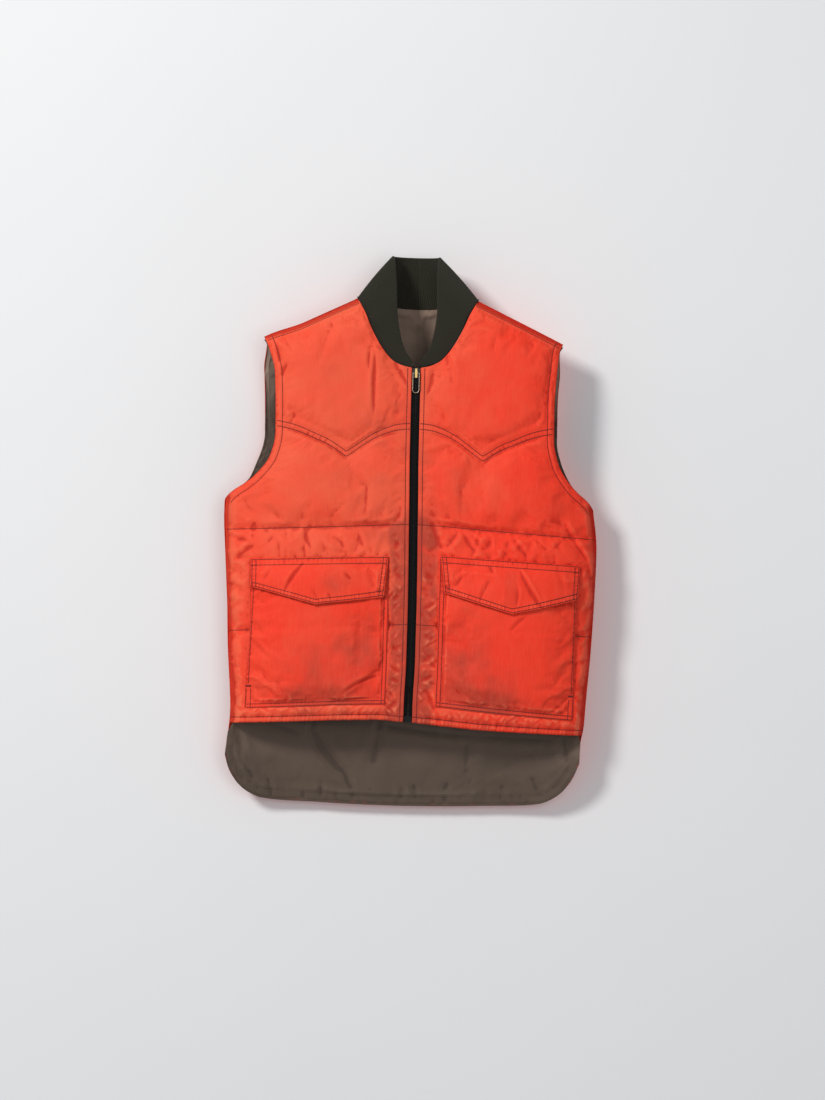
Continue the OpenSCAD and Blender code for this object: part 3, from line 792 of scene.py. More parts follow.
def back_sheets():
    flat = coons(np.concatenate([TAIL_LINE[::-1] * [-1, 1], TAIL_LINE[1:]]),
                 np.concatenate([BACK_TOP * [-1, 1], BACK_TOP[::-1][1:]]),
                 BACK_SIDE[-1] * [-1, 1], BACK_SIDE[1], cells(530, BACK_STEP), cells(690, BACK_STEP))
    x, z = xz(flat)
    half = pair(np.abs(x), z)
    near = near_seams(half, BACK_SEAMS)
    side = np.where(x < 0, distance(half, BACK_SIDE[-1]), distance(half, BACK_SIDE[1]))
    away = [distance(half, TAIL_LINE), side, distance(half, RIDGE_LINE),
            distance(half, BACK_TOP[30:])]
    outer, lining = back_depths(half, near, away)
    grow = clamp(0.35 + 0.75 * smooth(closest(near, BACK_SEAMS) / 60)
                 + 0.35 * noise(x / 60 + 40, z / 60))
    pin = np.zeros(x.shape)
    pin[closest(near, BACK_SEAMS) < BACK_STEP * 0.6] = 1.0
    pin[[0, -1]] = pin[:, [0, -1]] = 1
    return (Sheet("back", flat, outer, pin, grow, flip=True),
            Sheet("back_in", flat, lining, pin, grow, flip=False))


# ------------------------------------------------------------------ pockets

POCKET_STEP = 3.4
FLAP_IN, FLAP_OUT, FLAP_MID = 39.5, 239.5, 141.0
# how far the flaps' lower edges droop, over x on both sides
DROOP_X = [-245, -234, -134, -34, 34, 134, 234, 245]
DROOP = [-2.0, -2.0, 1.0, 11.5, 3.0, 8.0, 11.0, 11.0]


def flap_top(x):
    return pocket_top(x) - 0.5


def flap_base(x):
    return np.interp(np.abs(x), [FLAP_IN, FLAP_MID, FLAP_OUT],
                     [flap_top(FLAP_IN) - 49, flap_top(FLAP_MID) - 66.5, flap_top(FLAP_OUT) - 41])


def pocket_seams():
    t = linspace(0, 1, 30)
    base = pair(lerp(POCKET_IN + 1.6, 236.5, t), pocket_base(lerp(POCKET_IN, 238, t)) + 1.8)
    inner = np.array([(POCKET_IN + 1.6, 146.5), (POCKET_IN + 1.6, 362)])
    outer = np.array([(236.4, 135), (236.9, 166)])
    return {
        "base": Seam(base, 0, 3, 0.8, 16, 9.5),
        "base2": Seam(base + [0, 4.8], 1.4, 3, 0.9, 20, 10),
        "inner": Seam(inner, 0, 3, 0.5, 12, 12),
        "inner2": Seam(inner + [5.6, 0], 1.2, 3, 0.6, 16, 13),
        "outer": Seam(outer, 0, 3, 0.3, 8, 9),
        "outer2": Seam(outer + [-6.4, 0], 1.0, 3, 0.4, 12, 10),
        "mouth": Seam(np.array([(234.2, 171), (233.6, 350)]), 0.35, 2, 0.12, 8, 9),
    }


POCKET_SEAMS = pocket_seams()


def pocket_sheets():
    """A patch whose edge is sewn down, open at the outer side above the bar tack."""
    u = linspace(0, 1, cells(202, POCKET_STEP))[None]
    v = linspace(0, 1, cells(216, POCKET_STEP))[:, None]
    x = lerp(POCKET_IN, lerp(238, 240, v), u)
    z = lerp(pocket_base(x), pocket_top(x) - 1, v)
    # the outer side bows in a little above the bar tack, where the hand goes in
    x = x - 3.0 * u ** 8 * np.sin(np.pi * clamp((v - 0.15) / 0.75))
    flat = pair(x, z)
    near = near_seams(flat, POCKET_SEAMS)
    sewn = closest(near, ("inner", "base"))
    outer, top = np.abs(239 - x), np.abs(pocket_top(x) - z)
    sewn_out = 1 - rise(z, 160, 22)
    lift = 0.7 + 4.2 * smooth(sewn / 34) * lerp(1, smooth(outer / 34), sewn_out)
    lift = np.minimum(lift, 0.9 + 4.0 * smooth((top + 6) / 40) + 1.0)
    lift = lift - 1.8 * bell(outer, 16) * (1 - sewn_out)
    for name, seam in POCKET_SEAMS.items():
        lift = lift - seam.depth * bell(near[name][0], seam.width) * smooth(sewn / 5)
    y = front_y(x, z) - np.maximum(lift, 0.7) - 0.6
    pin = np.zeros_like(x)
    pin[sewn < POCKET_STEP * 0.75] = 1
    pin[closest(near, ("base2", "inner2")) < POCKET_STEP * 0.55] = 1
    pin[0], pin[:, 0], pin[-1] = 1, 1, 1
    pin[:, -1] = np.where(z[:, -1] < 170, 1, 0.35)
    pin[(z < 170) & (x > 228)] = 1
    return {sign: Sheet("pocket", flat, y, pin,
                        clamp(0.75 + 0.2 * noise(x / 50 + 3 * sign, z / 50)), sign < 0, sign)
            for sign in SIDES}


# ------------------------------------------------------------------ flaps


def flap_grid():
    u = linspace(0, 1, cells(200, POCKET_STEP))[None]
    v = linspace(0, 1, 17)[:, None]
    straight = lerp(FLAP_IN, FLAP_OUT, u)
    # the sides of the flap lean in towards the bottom
    x = straight + (1 - v) * lerp(6.5, -1.2, u)
    return pair(x, lerp(flap_base(straight), flap_top(x), v))


FLAP_FLAT = flap_grid()


def flap_seams():
    base, inner, outer = FLAP_FLAT[0], FLAP_FLAT[:, 0], FLAP_FLAT[:, -1]
    x = linspace(FLAP_IN, FLAP_OUT, 30)
    return {
        "hem1": Seam(base + [0, 2.2], 0.3, 1.6, 0.25, 5, 6.5),
        "hem2": Seam(base + [0, 7.4], 0.9, 2.6, 0.5, 10, 7.5),
        "in1": Seam(inner + [2.2, 0], 0.3, 1.6, 0.15, 5, 8),
        "in2": Seam(inner + [7.6, 0], 0.7, 2.6, 0.35, 10, 9),
        "out1": Seam(outer - [2.2, 0], 0.3, 1.6, 0.15, 5, 8),
        "out2": Seam(outer - [7.6, 0], 0.7, 2.6, 0.35, 10, 9),
        "top1": Seam(pair(x, flap_top(x) - 1.4), 0.6, 2.5, 0.3, 8, 10),
        "top2": Seam(pair(x, flap_top(x) - 9.4), 1.4, 3.4, 0.5, 16, 12),
    }


FLAP_SEAMS = flap_seams()


def flap_edge(x, z):
    """Distance to the flap's free edges."""
    return np.minimum.reduce([np.abs(z - flap_base(x)), np.abs(x - FLAP_IN), np.abs(FLAP_OUT - x)])


def flap_sheets():
    """A turned, double-stitched pointed flap."""
    x, z = xz(FLAP_FLAT)
    near = near_seams(FLAP_FLAT, FLAP_SEAMS)
    edge = flap_edge(x, z)
    lift = 2.2 + 5.0 * fall(z, flap_top(x), 26)
    lift = lift - 1.0 * (1 - smooth(edge / 12)) + 0.8 * smooth(edge / 24)
    for name, seam in FLAP_SEAMS.items():
        lift = lift - seam.depth * bell(near[name][0], seam.width)
    y = front_y(x, z) - lift - 1.2
    pin = np.zeros_like(x)
    pin[near["top1"][0] < POCKET_STEP] = 1
    pin[near["top2"][0] < POCKET_STEP * 0.6] = 1
    pin[-1] = 1
    pin[closest(near, ("hem2", "in2", "out2")) < POCKET_STEP * 0.5] = 0.9
    pin[0], pin[:, 0], pin[:, -1] = 0.9, 0.9, 0.9
    return {sign: Sheet("flap", FLAP_FLAT, y, pin,
                        clamp(0.8 + 0.2 * noise(x / 40 + sign, z / 40)), sign < 0, sign)
            for sign in SIDES}


fronts = front_sheets()
back_outer, back_inner = back_sheets()
pockets = pocket_sheets()
flaps = flap_sheets()
sheets = [*fronts.values(), back_outer, back_inner, *pockets.values(), *flaps.values()]
simulate(sheets, frames=18)
for sheet in sheets:
    limit_movement(sheet)

# ------------------------------------------------------------------ colour attributes


def relief_shading(y, out, fine=0.45, coarse=0.08):
    """About 0.5, more where the cloth stands out from its surroundings, less where it sinks. The
    materials paint it as shade where it sinks and as highlight and rubbed wear where it stands out.
    """
    height = y * out
    return 0.5 + fine * (height - blur(height, 3)) + coarse * (height - blur(height, 10))


def stains_and_side_shade(x, z, sign, kind="front"):
    """Grime: beside the zip, on the pockets' inner and lower halves, and along the hem; on the right
    front also a painted shade on the outer strip below the armhole.
    """
    broad = fbm(x / 60 + 11 * sign, z / 60, 2.0)
    fine = fbm(x / 24 + 5 * sign, z / 24, 6.0)
    if kind == "flap":
        spot = 0.55 * blob(x, z, 118, 325, 26, 20) if sign < 0 else 0
        return clamp((0.18 + 0.25 * broad) * fall(x, 150, 120) + 0.10 * fine + spot)
    if kind == "pocket":
        low = 0.55 * fall(z, 190, 50)
        if sign < 0:
            dirt = (0.75 * blob(x, z, 78, 225, 46, 46) + 0.45 * blob(x, z, 150, 190, 60, 40)
                    + low * fall(x, 240, 80))
        else:
            dirt = (0.70 * blob(x, z, 90, 185, 60, 55) + 0.35 * blob(x, z, 72, 260, 36, 50)
                    + low * fall(x, 255, 80))
        return clamp(dirt * (0.85 + 0.5 * broad) + 0.12 * fine + 0.10)
    placket = fall(x, 44, 14) * fall(z, 455, 70) * (0.75 + 0.35 * fine)
    edge = 0.55 * bell(x, 26) * (0.6 + 0.5 * broad)
    hem = 0.55 * bell(z - 128, 16) * fall(x, 225, 60) * (0.8 + 0.5 * fine)
    # weight, middle x, z, radius in x, z
    spots = {-1: [(0.50, 40, 520, 40, 60), (0.30, 110, 640, 50, 60), (0.30, 120, 480, 60, 40),
                  (0.30, 120, 580, 50, 24), (0.45, 60, 405, 40, 30)],
             1: [(0.35, 60, 480, 45, 50), (0.22, 150, 590, 60, 26), (0.2, 60, 400, 40, 30)]}
    dirt = sum(weight * blob(x, z, *place) for weight, *place in spots[sign])
    # painted shade: the right front's outer strip, turned away from the light, is darkened
    side = 0.22 * rise(x, 225, 35) * fall(z, 420, 60)
    return clamp(placket + edge + hem + dirt * (0.9 + 0.5 * broad) + side * (sign > 0)
                 + 0.10 * fine)


def tones(x, z, sign, kind="front"):
    """0 deep orange red, 1 sun-bleached orange."""
    if kind == "flap":
        tone = 0.30 if sign < 0 else 0.10
    elif kind == "pocket":
        tone = 0.22 if sign < 0 else 0.14
    elif sign < 0:
        tone = 0.72 - 0.15 * rise(x, 150, 100) - 0.18 * fall(z, 330, 80)
    else:
        tone = 0.50 - 0.28 * rise(x, 40, 120) - 0.12 * fall(z, 480, 100)
        tone = tone + 0.3 * bell(x, 20) * rise(z, 400, 60)
    return clamp(tone + 0.22 * fbm(x / 90 + 3 * sign, z / 90, 8.0))


def highlight_and_rub_zones(x, z, kind="front"):
    """Where the raised folds get more of a pale colour, painted highlight and rubbed wear: near the
    hem, the pockets' seams and the placket.
    """
    if kind == "flap":
        return clamp(0.15 + 0.8 * smooth(1 - flap_edge(x, z) / 14))
    if kind == "pocket":
        edge = np.minimum(np.abs(z - pocket_base(x)), np.abs(x - POCKET_IN))
        return clamp(0.10 + 0.9 * smooth(1 - edge / 24))
    edge = clamp(0.6 * fall(x, 44, 12) * fall(z, 420, 100) + 0.75 * fall(z, 150, 12)
                 + 0.35 * rise(x, 236, 14) * fall(z, 400, 40))
    return clamp(0.10 + edge)


# ------------------------------------------------------------------ finished cloth


def sheet_piece(name, grid, flip, thick, attrs, turn=0.0):
    """A cloth piece with real thickness; its rim is turned over by turn in y."""
    rows, cols = grid.shape[:2]
    verts = grid.reshape(-1, 3)
    faces = grid_faces(rows, cols, flip)
    if turn:
        rim = rim_of(rows, cols)
        ring = verts[rim].copy()
        ring[:, 1] += turn
        turned = len(verts) + np.arange(len(rim))
        edge = np.stack([rim, turned, np.roll(turned, -1), np.roll(rim, -1)], -1)
        verts = np.concatenate([verts, ring])
        faces = np.concatenate([faces, edge[:, ::-1] if flip else edge])
        attrs = {k: np.concatenate([v.ravel(), v.ravel()[rim]]) for k, v in attrs.items()}
    mod = make_piece(name, verts, faces, attrs=attrs).modifiers.new("cloth_thickness", "SOLIDIFY")
    mod.thickness = thick * MM
    mod.offset = -1
    mod.use_rim = True


def front_shell(sign, side):
    grid = fronts[sign].finished()
    flat = pair(grid[..., 0] * sign, grid[..., 2])
    x, z = xz(flat)
    near = near_seams(flat, FRONT_SEAMS)
    free = (smooth(distance(flat, SIDE_LINE, ARM_LINE) / 10)
            * smooth(distance(flat, RIDGE_LINE) / 8))
    relief = puckers(near, FRONT_SEAMS, 5 + sign) * lerp(0.25, 1, free)
    relief += (0.55 * fbm(x / 34 + 50 * sign, z / 52, 1.0) * rise(x, 12, 20)
               + 0.2 * fbm(x / 13, z / 13, 4.0 + sign))
    relief, dark = add_folds(flat, relief, front_folds(sign))
    # painted shadow: a fine dark line on the front along the pockets' edges and just above their tops
    seam = fall(z, pocket_top(x) + 3, 3) * rise(z, pocket_base(x) - 3, 3)
    seam = seam * np.maximum(bell(x - POCKET_IN + 0.8, 2.6), 0.8 * bell(x - 241.2, 3.2))
    seam = np.maximum(seam, 0.9 * bell(z - pocket_top(x) - 1.0, 2.3)
                      * rise(x, POCKET_IN - 2, 3) * fall(x, 242, 3))
    # creases beside the zip
    zone = fall(x, 40, 8) * rise(x, 11, 5) * fall(z, 400, 140)
    relief += 0.25 * zone * (ridged((x + 0.5 * z) / 40 + sign, (z - 0.3 * x) / 13, 3.3) - 0.35)
    # slanting puckers between pocket and hem, upright ones on the hem
    below = rise(z, 127, 4) * fall(z, pocket_base(x) + 1, 4) * rise(x, 30, 10)
    relief += 0.22 * below * noise((x * sign - 0.9 * (z - 130)) / 5.6, z / 90, 9.0 + sign)
    relief += 0.35 * fall(z, HEM + 7, 5) * noise(x / 5.2, z / 30, 9.0 + sign)
    ribs = (0.8 * fall(z, hem_at(x) + 9, 2)
            * np.sin(2 * np.pi * x / 5.4 + 2.4 * noise(x / 20, 3.0 + sign)) * rise(x, 12, 6))
    ribs = ribs + 0.5 * rib_band(near, "yoke_low", "yoke_high", 5.6, 7.0, 4.0 + sign)
    relief += 0.28 * ribs
    grid[..., 1] -= relief * rise(x, 8.5, 7)
    # the yoke is a separate panel: a small step at its lower edge
    grid[..., 1] -= 0.55 * smooth((z - yoke_z(x) + 2.2) / 1.6 + 0.5) * rise(x, 8, 3)
    # the hem's edge is scalloped by its stitching
    grid[..., 2] += bell(z - hem_at(x), 6) * 0.5 * noise(x / 7.5, 3.0 * sign)
    # painted light: shade where the cloth sinks, along the folds' bottoms and beside the pockets;
    # highlight where it stands out and on the ribs
    relief_light_and_wear = clamp(relief_shading(grid[..., 1], -1) - 0.36 * dark - 0.30 * seam + 0.12 * ribs)
    attrs = dict(relief_light_and_wear=relief_light_and_wear, fade=stains_and_side_shade(x, z, sign), tone=tones(x, z, sign), highlight_and_rub=highlight_and_rub_zones(x, z))
    sheet_piece(f"shell_front_{side}", grid, sign < 0, 0.8, attrs, turn=2.0)
    return grid, flat, near


def front_lining(sign, side, shell, flat, near):
    """Every second point of the shell's grid, set back to the lining's depth."""
    every2 = (slice(None, None, 2), slice(None, None, 2))
    _, y = front_depths(flat, near)
    flat = flat[every2]
    near = {name: (away[every2], along[every2]) for name, (away, along) in near.items()}
    x, z = xz(flat)
    y = np.maximum(y[every2], shell[every2][..., 1] + 2.0)
    side_away, ridge_away = distance(flat, SIDE_LINE), distance(flat, RIDGE_LINE)
    x = x - 4.5 * bell(side_away, 9) * (z < PIT + 20)
    z = z - 4.5 * bell(ridge_away, 9)
    y = np.minimum(y, Y_MID + 0.6 + 30 * smooth(np.minimum(side_away, ridge_away) / 40))
    wrinkles = (0.5 * puckers(near, FRONT_SEAMS, 21 + sign)
                + 0.7 * fbm(x / 30, z / 60, 30.0 + sign))
    edge = distance(flat, HEM_LINE[::-1], ZIP_LINE, NECK_LINE, RIDGE_LINE, ARM_LINE[::-1],
                    SIDE_LINE[::-1])
    grid = np.stack([x * sign, y + wrinkles * smooth(edge / 14), z], -1)
    # painted highlight on the wrinkles' crests and painted shade in their hollows
    attrs = dict(relief_light_and_wear=clamp(0.5 + 0.3 * wrinkles),
                 fade=clamp(0.4 + 0.4 * fbm(x / 60, z / 60, 5.0)), tone=0 * x)
    sheet_piece(f"lining_front_{side}", grid, sign > 0, 0.5, attrs)


def back_shell():
    grid = back_outer.finished()
    x, z = xz(grid)
    half = pair(np.abs(x), z)
    relief = (puckers(near_seams(half, BACK_SEAMS), BACK_SEAMS, 31)
              + 0.55 * fbm(x / 34, z / 52, 61.0) + 0.2 * fbm(x / 13, z / 13, 62.0))
    grid[..., 1] += relief * smooth(distance(half, BACK_SIDE[1], BACK_TOP) / 10)
    # painted light: shade where the shell sinks, highlight and rubbed wear where it stands out, more
    # of it towards the bottom
    attrs = dict(relief_light_and_wear=clamp(relief_shading(grid[..., 1], 1)),
                 fade=clamp(0.10 + 0.25 * fbm(x / 90, z / 90, 63.0)),
                 tone=clamp(0.35 + 0.4 * fbm(x / 120, z / 120, 64.0)),
                 highlight_and_rub=clamp(0.1 + 0.6 * fall(z, 110, 60)))
    sheet_piece("shell_back", grid, True, 0.8, attrs, turn=-2.0)
    return grid


def back_lining(shell):
    grid = back_inner.finished()
    x, z = xz(grid)  # views: they follow the grid where it is moved below
    flat, half = pair(x, z), pair(np.abs(x), z)
    relief = (0.8 * puckers(near_seams(half, BACK_SEAMS), BACK_SEAMS, 71)
              + 0.7 * fbm(x / 28, z / 60, 65.0) + 0.2 * fbm(x / 11, z / 13, 66.0))
    # soft upright folds on the tail
    tail = fall(z, 150, 60)
    relief = relief * lerp(1, 0.45, tail) + tail * 0.7 * noise(x / 40, z / 120, 70.0)
    dark = 0 * x
    for x0, z0, x1, z1, width, depth, bow, shade in TAIL_FOLDS:
        line, length = bowed_line(x0, z0, x1, z1, bow)
        away, along = nearest(flat, line)
        t = along / length
        ends = (smooth((t + 0.12) * 4) * smooth((1.12 - t) * 4)
                * (0.55 + 0.45 * np.sin(np.pi * clamp(t))))
        relief -= depth * bell(away, width) * ends
        relief += 0.5 * depth * bell(away - 1.7 * width, width) * ends
        # painted shade along the fold's bottom
        dark = np.maximum(dark, shade * bell(away, 0.42 * width) * ends)
    # short upright puckers above the tail's stitching
    relief += 0.8 * bell(z - pchip(np.abs(x), TAIL) - 10, 11) * noise(x / 7, z / 60, 72.0)
    relief, _ = add_folds(flat, relief, NECK_PLEATS)
    grid[..., 1] -= relief * smooth(distance(half, TAIL_LINE[::-1], BACK_SIDE[1], BACK_TOP) / 9)
    # stay inside the shell, and hang below it along the tail
    low = bell(distance(half, TAIL_LINE), 5) * fall(half[..., 0], 228, 24)
    grid[..., 1] = np.minimum(grid[..., 1], shell[..., 1] - 2.0 - 0.7 * fall(z, 600, 60) - 0.8 * low)
    grid[..., 2] -= 2.3 * low
    # draw in from the side seams and the shoulders
    ridge = distance(half, RIDGE_LINE)
    sewn = np.where((z > 100) & (z < PIT + 20), distance(half, SIDE_LINE), 1e9)
    grid[..., 0] -= (np.sign(x) * 4.5 * bell(np.minimum(sewn, ridge), 9)
                     * (z < PIT + 20) * (z > 100))
    grid[..., 2] -= 4.5 * bell(ridge, 9)
    # a small dark mark low on the tail
    dark = dark + 1.6 * blob(x, z, -45, 22, 2.6, 1.8)
    # painted light: shade where the lining sinks and along the folds' bottoms, highlight where it
    # stands out; the tone attribute paints it paler inside the neck and at the tail's top, where
    # collar and hem shade it
    attrs = dict(relief_light_and_wear=clamp(relief_shading(grid[..., 1], -1, fine=0.35, coarse=0.12) - 0.45 * dark),
                 fade=clamp(0.5 + 0.5 * fbm(x / 60, z / 60, 67.0)),
                 tone=np.maximum(rise(z, 560, 80), 0.17 * rise(z, 52, 30) * fall(z, 150, 20)))
    sheet_piece("lining_back", grid, False, 0.5, attrs)
    return grid


def pocket_patch(sign, side):
    grid = pockets[sign].finished()
    flat = pair(grid[..., 0] * sign, grid[..., 2])
    x, z = xz(flat)
    near = near_seams(flat, POCKET_SEAMS)
    relief = puckers(near, POCKET_SEAMS, 41 + sign)
    relief += 0.6 * fbm(x / 36, z / 44, 43.0 + sign) + 0.15 * fbm(x / 12, z / 12, 44.0)
    relief += 0.8 * bell(z - 165, 26) * noise((x + 0.35 * (z - 140)) / 15, z / 80, 45.0 + sign)
    ribs = (rib_band(near, "base", "base2", 4.8, 5.4, 6.0 + sign)
            + 0.5 * rib_band(near, "inner", "inner2", 5.6, 8.0, 7.0 + sign))
    relief += 0.28 * ribs
    relief, dark = add_folds(flat, relief, POCKET_FOLDS[sign])
    # the flap keeps the light off the cloth just below it
    drop = z - (flap_base(x) - np.interp(x * sign, DROOP_X, DROOP) * 0.95)
    shade = rise(drop, -7, 7) * rise(x, FLAP_IN - 2, 4) * fall(x, FLAP_OUT + 2, 4)
    # the front's quilting shows faintly through the pocket
    relief -= 0.5 * bell(z - lerp(265, 254, (x - 6) / 260), 5)
    edge = distance(flat, POCKET_SEAMS["base"].path, POCKET_SEAMS["inner"].path[::-1])
    grid[..., 1] -= relief * rise(edge, -1, 12)
    # painted light: shade where the patch sinks, along its folds and below the flap; highlight where
    # it stands out and on the ribs
    relief_light_and_wear = clamp(relief_shading(grid[..., 1], -1) - 0.34 * (0.8 * dark) - 0.34 * shade + 0.13 * ribs)
    attrs = dict(relief_light_and_wear=relief_light_and_wear, fade=stains_and_side_shade(x, z, sign, "pocket"),
                 tone=tones(x, z, sign, "pocket"), highlight_and_rub=highlight_and_rub_zones(x, z, "pocket"))
    sheet_piece(f"pocket_patch_{side}", grid, sign < 0, 0.9, attrs, turn=1.4)
    return grid


def cloth_behind(x, z, faces):
    """y of the foremost of the faces behind each point, softened."""
    y = np.zeros_like(x)
    for index in np.ndindex(x.shape):
        hits = [face.hit(x[index], z[index])[0] for face in faces]
        y[index] = min(99 if hit is None else hit[1] for hit in hits)
    return np.minimum(blur(y, 6), y + 0.6)


def pocket_flap(sign, side, faces):
    grid = flaps[sign].finished()
    flat = pair(grid[..., 0] * sign, grid[..., 2])
    x, z = xz(flat)
    near = near_seams(flat, FLAP_SEAMS)
    relief = (puckers(near, FLAP_SEAMS, 51 + sign) + 0.4 * fbm(x / 30, z / 30, 53.0 + sign)
              + 0.12 * fbm(x / 10, z / 10, 54.0))
    ribs = (rib_band(near, "hem1", "hem2", 5.2, 5.3, 8.0 + sign)
            + 0.6 * rib_band(near, "in1", "in2", 5.4, 5.6, 9.0 + sign)
            + 0.6 * rib_band(near, "out1", "out2", 5.4, 5.6, 10.0 + sign)
            + 0.6 * rib_band(near, "top1", "top2", 8.0, 7.0, 11.0 + sign))
    relief += 0.28 * ribs
    relief, dark = add_folds(flat, relief, FLAP_FOLDS[sign])
    relief = relief * fall(z, flap_top(x) + 1, 8)
    # keep the flap clear of the pocket and the front
    limit = cloth_behind(x * sign, z, faces) - 2.6 - 3.0 * fall(z, flap_top(x) - 6, 30)
    grid[..., 1] = np.minimum(grid[..., 1], limit) - np.maximum(relief, -1.4)
    fade = stains_and_side_shade(x, z, sign, "flap")
    if sign > 0:
        # the closure behind the flap has pressed a faint upright rectangle into it
        fade = np.maximum(fade, 0.42 * rise(x, 130.5, 2) * fall(x, 151, 2)
                          * rise(z, 302, 2) * fall(z, 347, 2))
    # painted light: shade where the flap sinks and along its folds; highlight where it stands out and
    # on the ribs
    attrs = dict(relief_light_and_wear=clamp(relief_shading(grid[..., 1], -1) - 0.40 * dark + 0.16 * ribs), fade=fade,
                 tone=tones(x, z, sign, "flap"), highlight_and_rub=highlight_and_rub_zones(x, z, "flap"))
    sheet_piece(f"pocket_flap_{side}", grid, sign < 0, 1.6, attrs)
    return grid


front_faces, pocket_faces, flap_faces = {}, {}, {}
for sign, side in SIDES.items():
    shell, flat, near = front_shell(sign, side)
    front_lining(sign, side, shell, flat, near)
    front_faces[sign] = Face(shell, -1)
shell = back_shell()
back_face = Face(shell, 1)
tail_face = Face(back_lining(shell), -1)
for sign, side in SIDES.items():
    pocket_faces[sign] = Face(pocket_patch(sign, side), -1)
    flap_faces[sign] = Face(pocket_flap(sign, side, (pocket_faces[sign], front_faces[sign])), -1)

# ------------------------------------------------------------------ threads and strips

# a thread's section along its length: fraction of the length, extra mm, part of the radius
THREAD_PROFILE = [(0.02, -0.25, 0.25), (0.05, 0, 0.8), (0.3, 0, 1.0), (0.7, 0, 1.0),
                  (0.95, 0, 0.8), (0.98, 0.25, 0.25)]


def tube_faces(rings, sides, base=0):
    """The wall between rings of points, and the two end caps."""
    faces = []
    for i in range(rings - 1):
        for k in range(sides):
            ring, after = base + i * sides, (k + 1) % sides
            faces.append((ring + k, ring + after, ring + sides + after, ring + sides + k))
    faces.append(tuple(base + k for k in range(sides))[::-1])
    faces.append(tuple(base + (rings - 1) * sides + k for k in range(sides)))
    return faces


def thread_piece(name, threads, radius=0.66):
    """Short threads with round ends. threads: (start, end, normal)."""
    sides = 6
    verts, faces = [], []
    for start, end, normal in threads:
        length = np.linalg.norm(end - start)
        if length < 0.2:
            continue
        t = (end - start) / length
        normal = normal - t * np.dot(normal, t)
        normal /= np.linalg.norm(normal) + 1e-9
        across = np.cross(t, normal)
        faces += tube_faces(len(THREAD_PROFILE), sides, len(verts))
        for part, extra, size in THREAD_PROFILE:
            mid = start + t * (part * length + extra) - normal * (0.25 * (1 - size))
            for k in range(sides):
                angle = 2 * math.pi * k / sides
                verts.append(mid + radius * size * (math.cos(angle) * across
                                                    + 0.8 * math.sin(angle) * normal))
    make_piece(name, verts, faces)


def lay_thread(face, start, end, sign, lift):
    """One thread on a face between two flat points, or none where the face is missed."""
    hit_a, normal_a = face.hit(start[0] * sign, start[1])
    hit_b, normal_b = face.hit(end[0] * sign, end[1])
    if hit_a is None or hit_b is None:
        return []
    normal = normal_a + normal_b
    normal /= np.linalg.norm(normal)
    return [(hit_a + normal * lift, hit_b + normal * lift, normal)]


def stitch_line(face, line, sign, lift=0.12, length=2.9, gap=0.6):
    along = np.concatenate([[0], np.cumsum(np.linalg.norm(np.diff(line, axis=0), axis=1))])
    threads = []
    for i in range(int(along[-1] / (length + gap))):
        first = i * (length + gap) + gap / 2
        start, end = ([np.interp(s, along, line[:, k]) for k in (0, 1)]
                      for s in (first, first + length))
        threads += lay_thread(face, start, end, sign, lift)
    return threads


def stitch_seams(face, seams, sign, **spacing):
    return [t for seam in seams.values() for t in stitch_line(face, seam.path, sign, **spacing)]


def front_stitches(sign):
    threads = []
    for name, seam in FRONT_SEAMS.items():
        quilting = name in ("chest", "waist")
        threads += stitch_line(front_faces[sign], seam.path, sign, lift=0.05 if quilting else 0.12,
                               length=3.2 if quilting else 2.8)
    return threads


def bar_tack(sign):
    """A row of close upright threads at the lower end of the pocket's opening."""
    x, z, length, height = 234.5, 167.5, 8.5, 2.6
    count = int(length / 0.62)
    threads = []
    for i in range(count):
        t = (i / (count - 1) - 0.5) * length
        start, end = (x + t, z - height / 2), (x + t + 0.3, z + height / 2)
        threads += lay_thread(pocket_faces[sign], start, end, sign, lift=0.3)
    return threads


def strip_on(name, face, sign, near_off, far_off):
    """A thin closed upright strip laid on a face, between two offsets in y."""
    rows, cols = 26, 12
    grid = np.zeros((rows, cols, 3))
    for j, z in enumerate(linspace(300, 344, rows)):
        for i, x in enumerate(linspace(131.5, 150.5, cols)):
            hit, _ = face.hit(x * sign, z)
            grid[j, i] = hit if hit is not None else (x * sign, grid[j, i - 1, 1], z)
    grid[..., 1] = blur(grid[..., 1], 3)
    near_grid, far_grid = grid + [0, near_off, 0], grid + [0, far_off, 0]
    count = rows * cols
    a = rim_of(rows, cols)
    b = np.roll(a, -1)
    edge = np.stack([a, b, b + count, a + count], -1)
    faces = np.concatenate([grid_faces(rows, cols, sign < 0),
                            grid_faces(rows, cols, sign > 0, count),
                            edge if sign < 0 else edge[:, ::-1]])
    make_piece(name, np.concatenate([far_grid.reshape(-1, 3), near_grid.reshape(-1, 3)]), faces)


for sign, side in SIDES.items():
    thread_piece(f"stitches_front_{side}", front_stitches(sign))
    thread_piece(f"stitches_pocket_{side}", stitch_seams(pocket_faces[sign], POCKET_SEAMS, sign))
    thread_piece(f"bar_tack_{side}", bar_tack(sign), radius=0.4)
    thread_piece(f"stitches_flap_{side}",
                 stitch_seams(flap_faces[sign], FLAP_SEAMS, sign, lift=0.1))
    strip_on(f"flap_hook_strip_{side}", flap_faces[sign], sign, near_off=1.6, far_off=2.5)
    strip_on(f"pocket_loop_strip_{side}", pocket_faces[sign], sign, near_off=0.0, far_off=-0.7)

thread_piece("stitches_back", [t for sign in SIDES
                               for t in stitch_seams(back_face, BACK_SEAMS, sign)])
tail_threads = []
for sign in SIDES:
    for line in (BACK_SEAMS["hem"].path, offset(BACK_SIDE[sign][40:], 7.0)):
        tail_threads += stitch_line(tail_face, line, sign)
thread_piece("stitches_tail", tail_threads, radius=0.42)

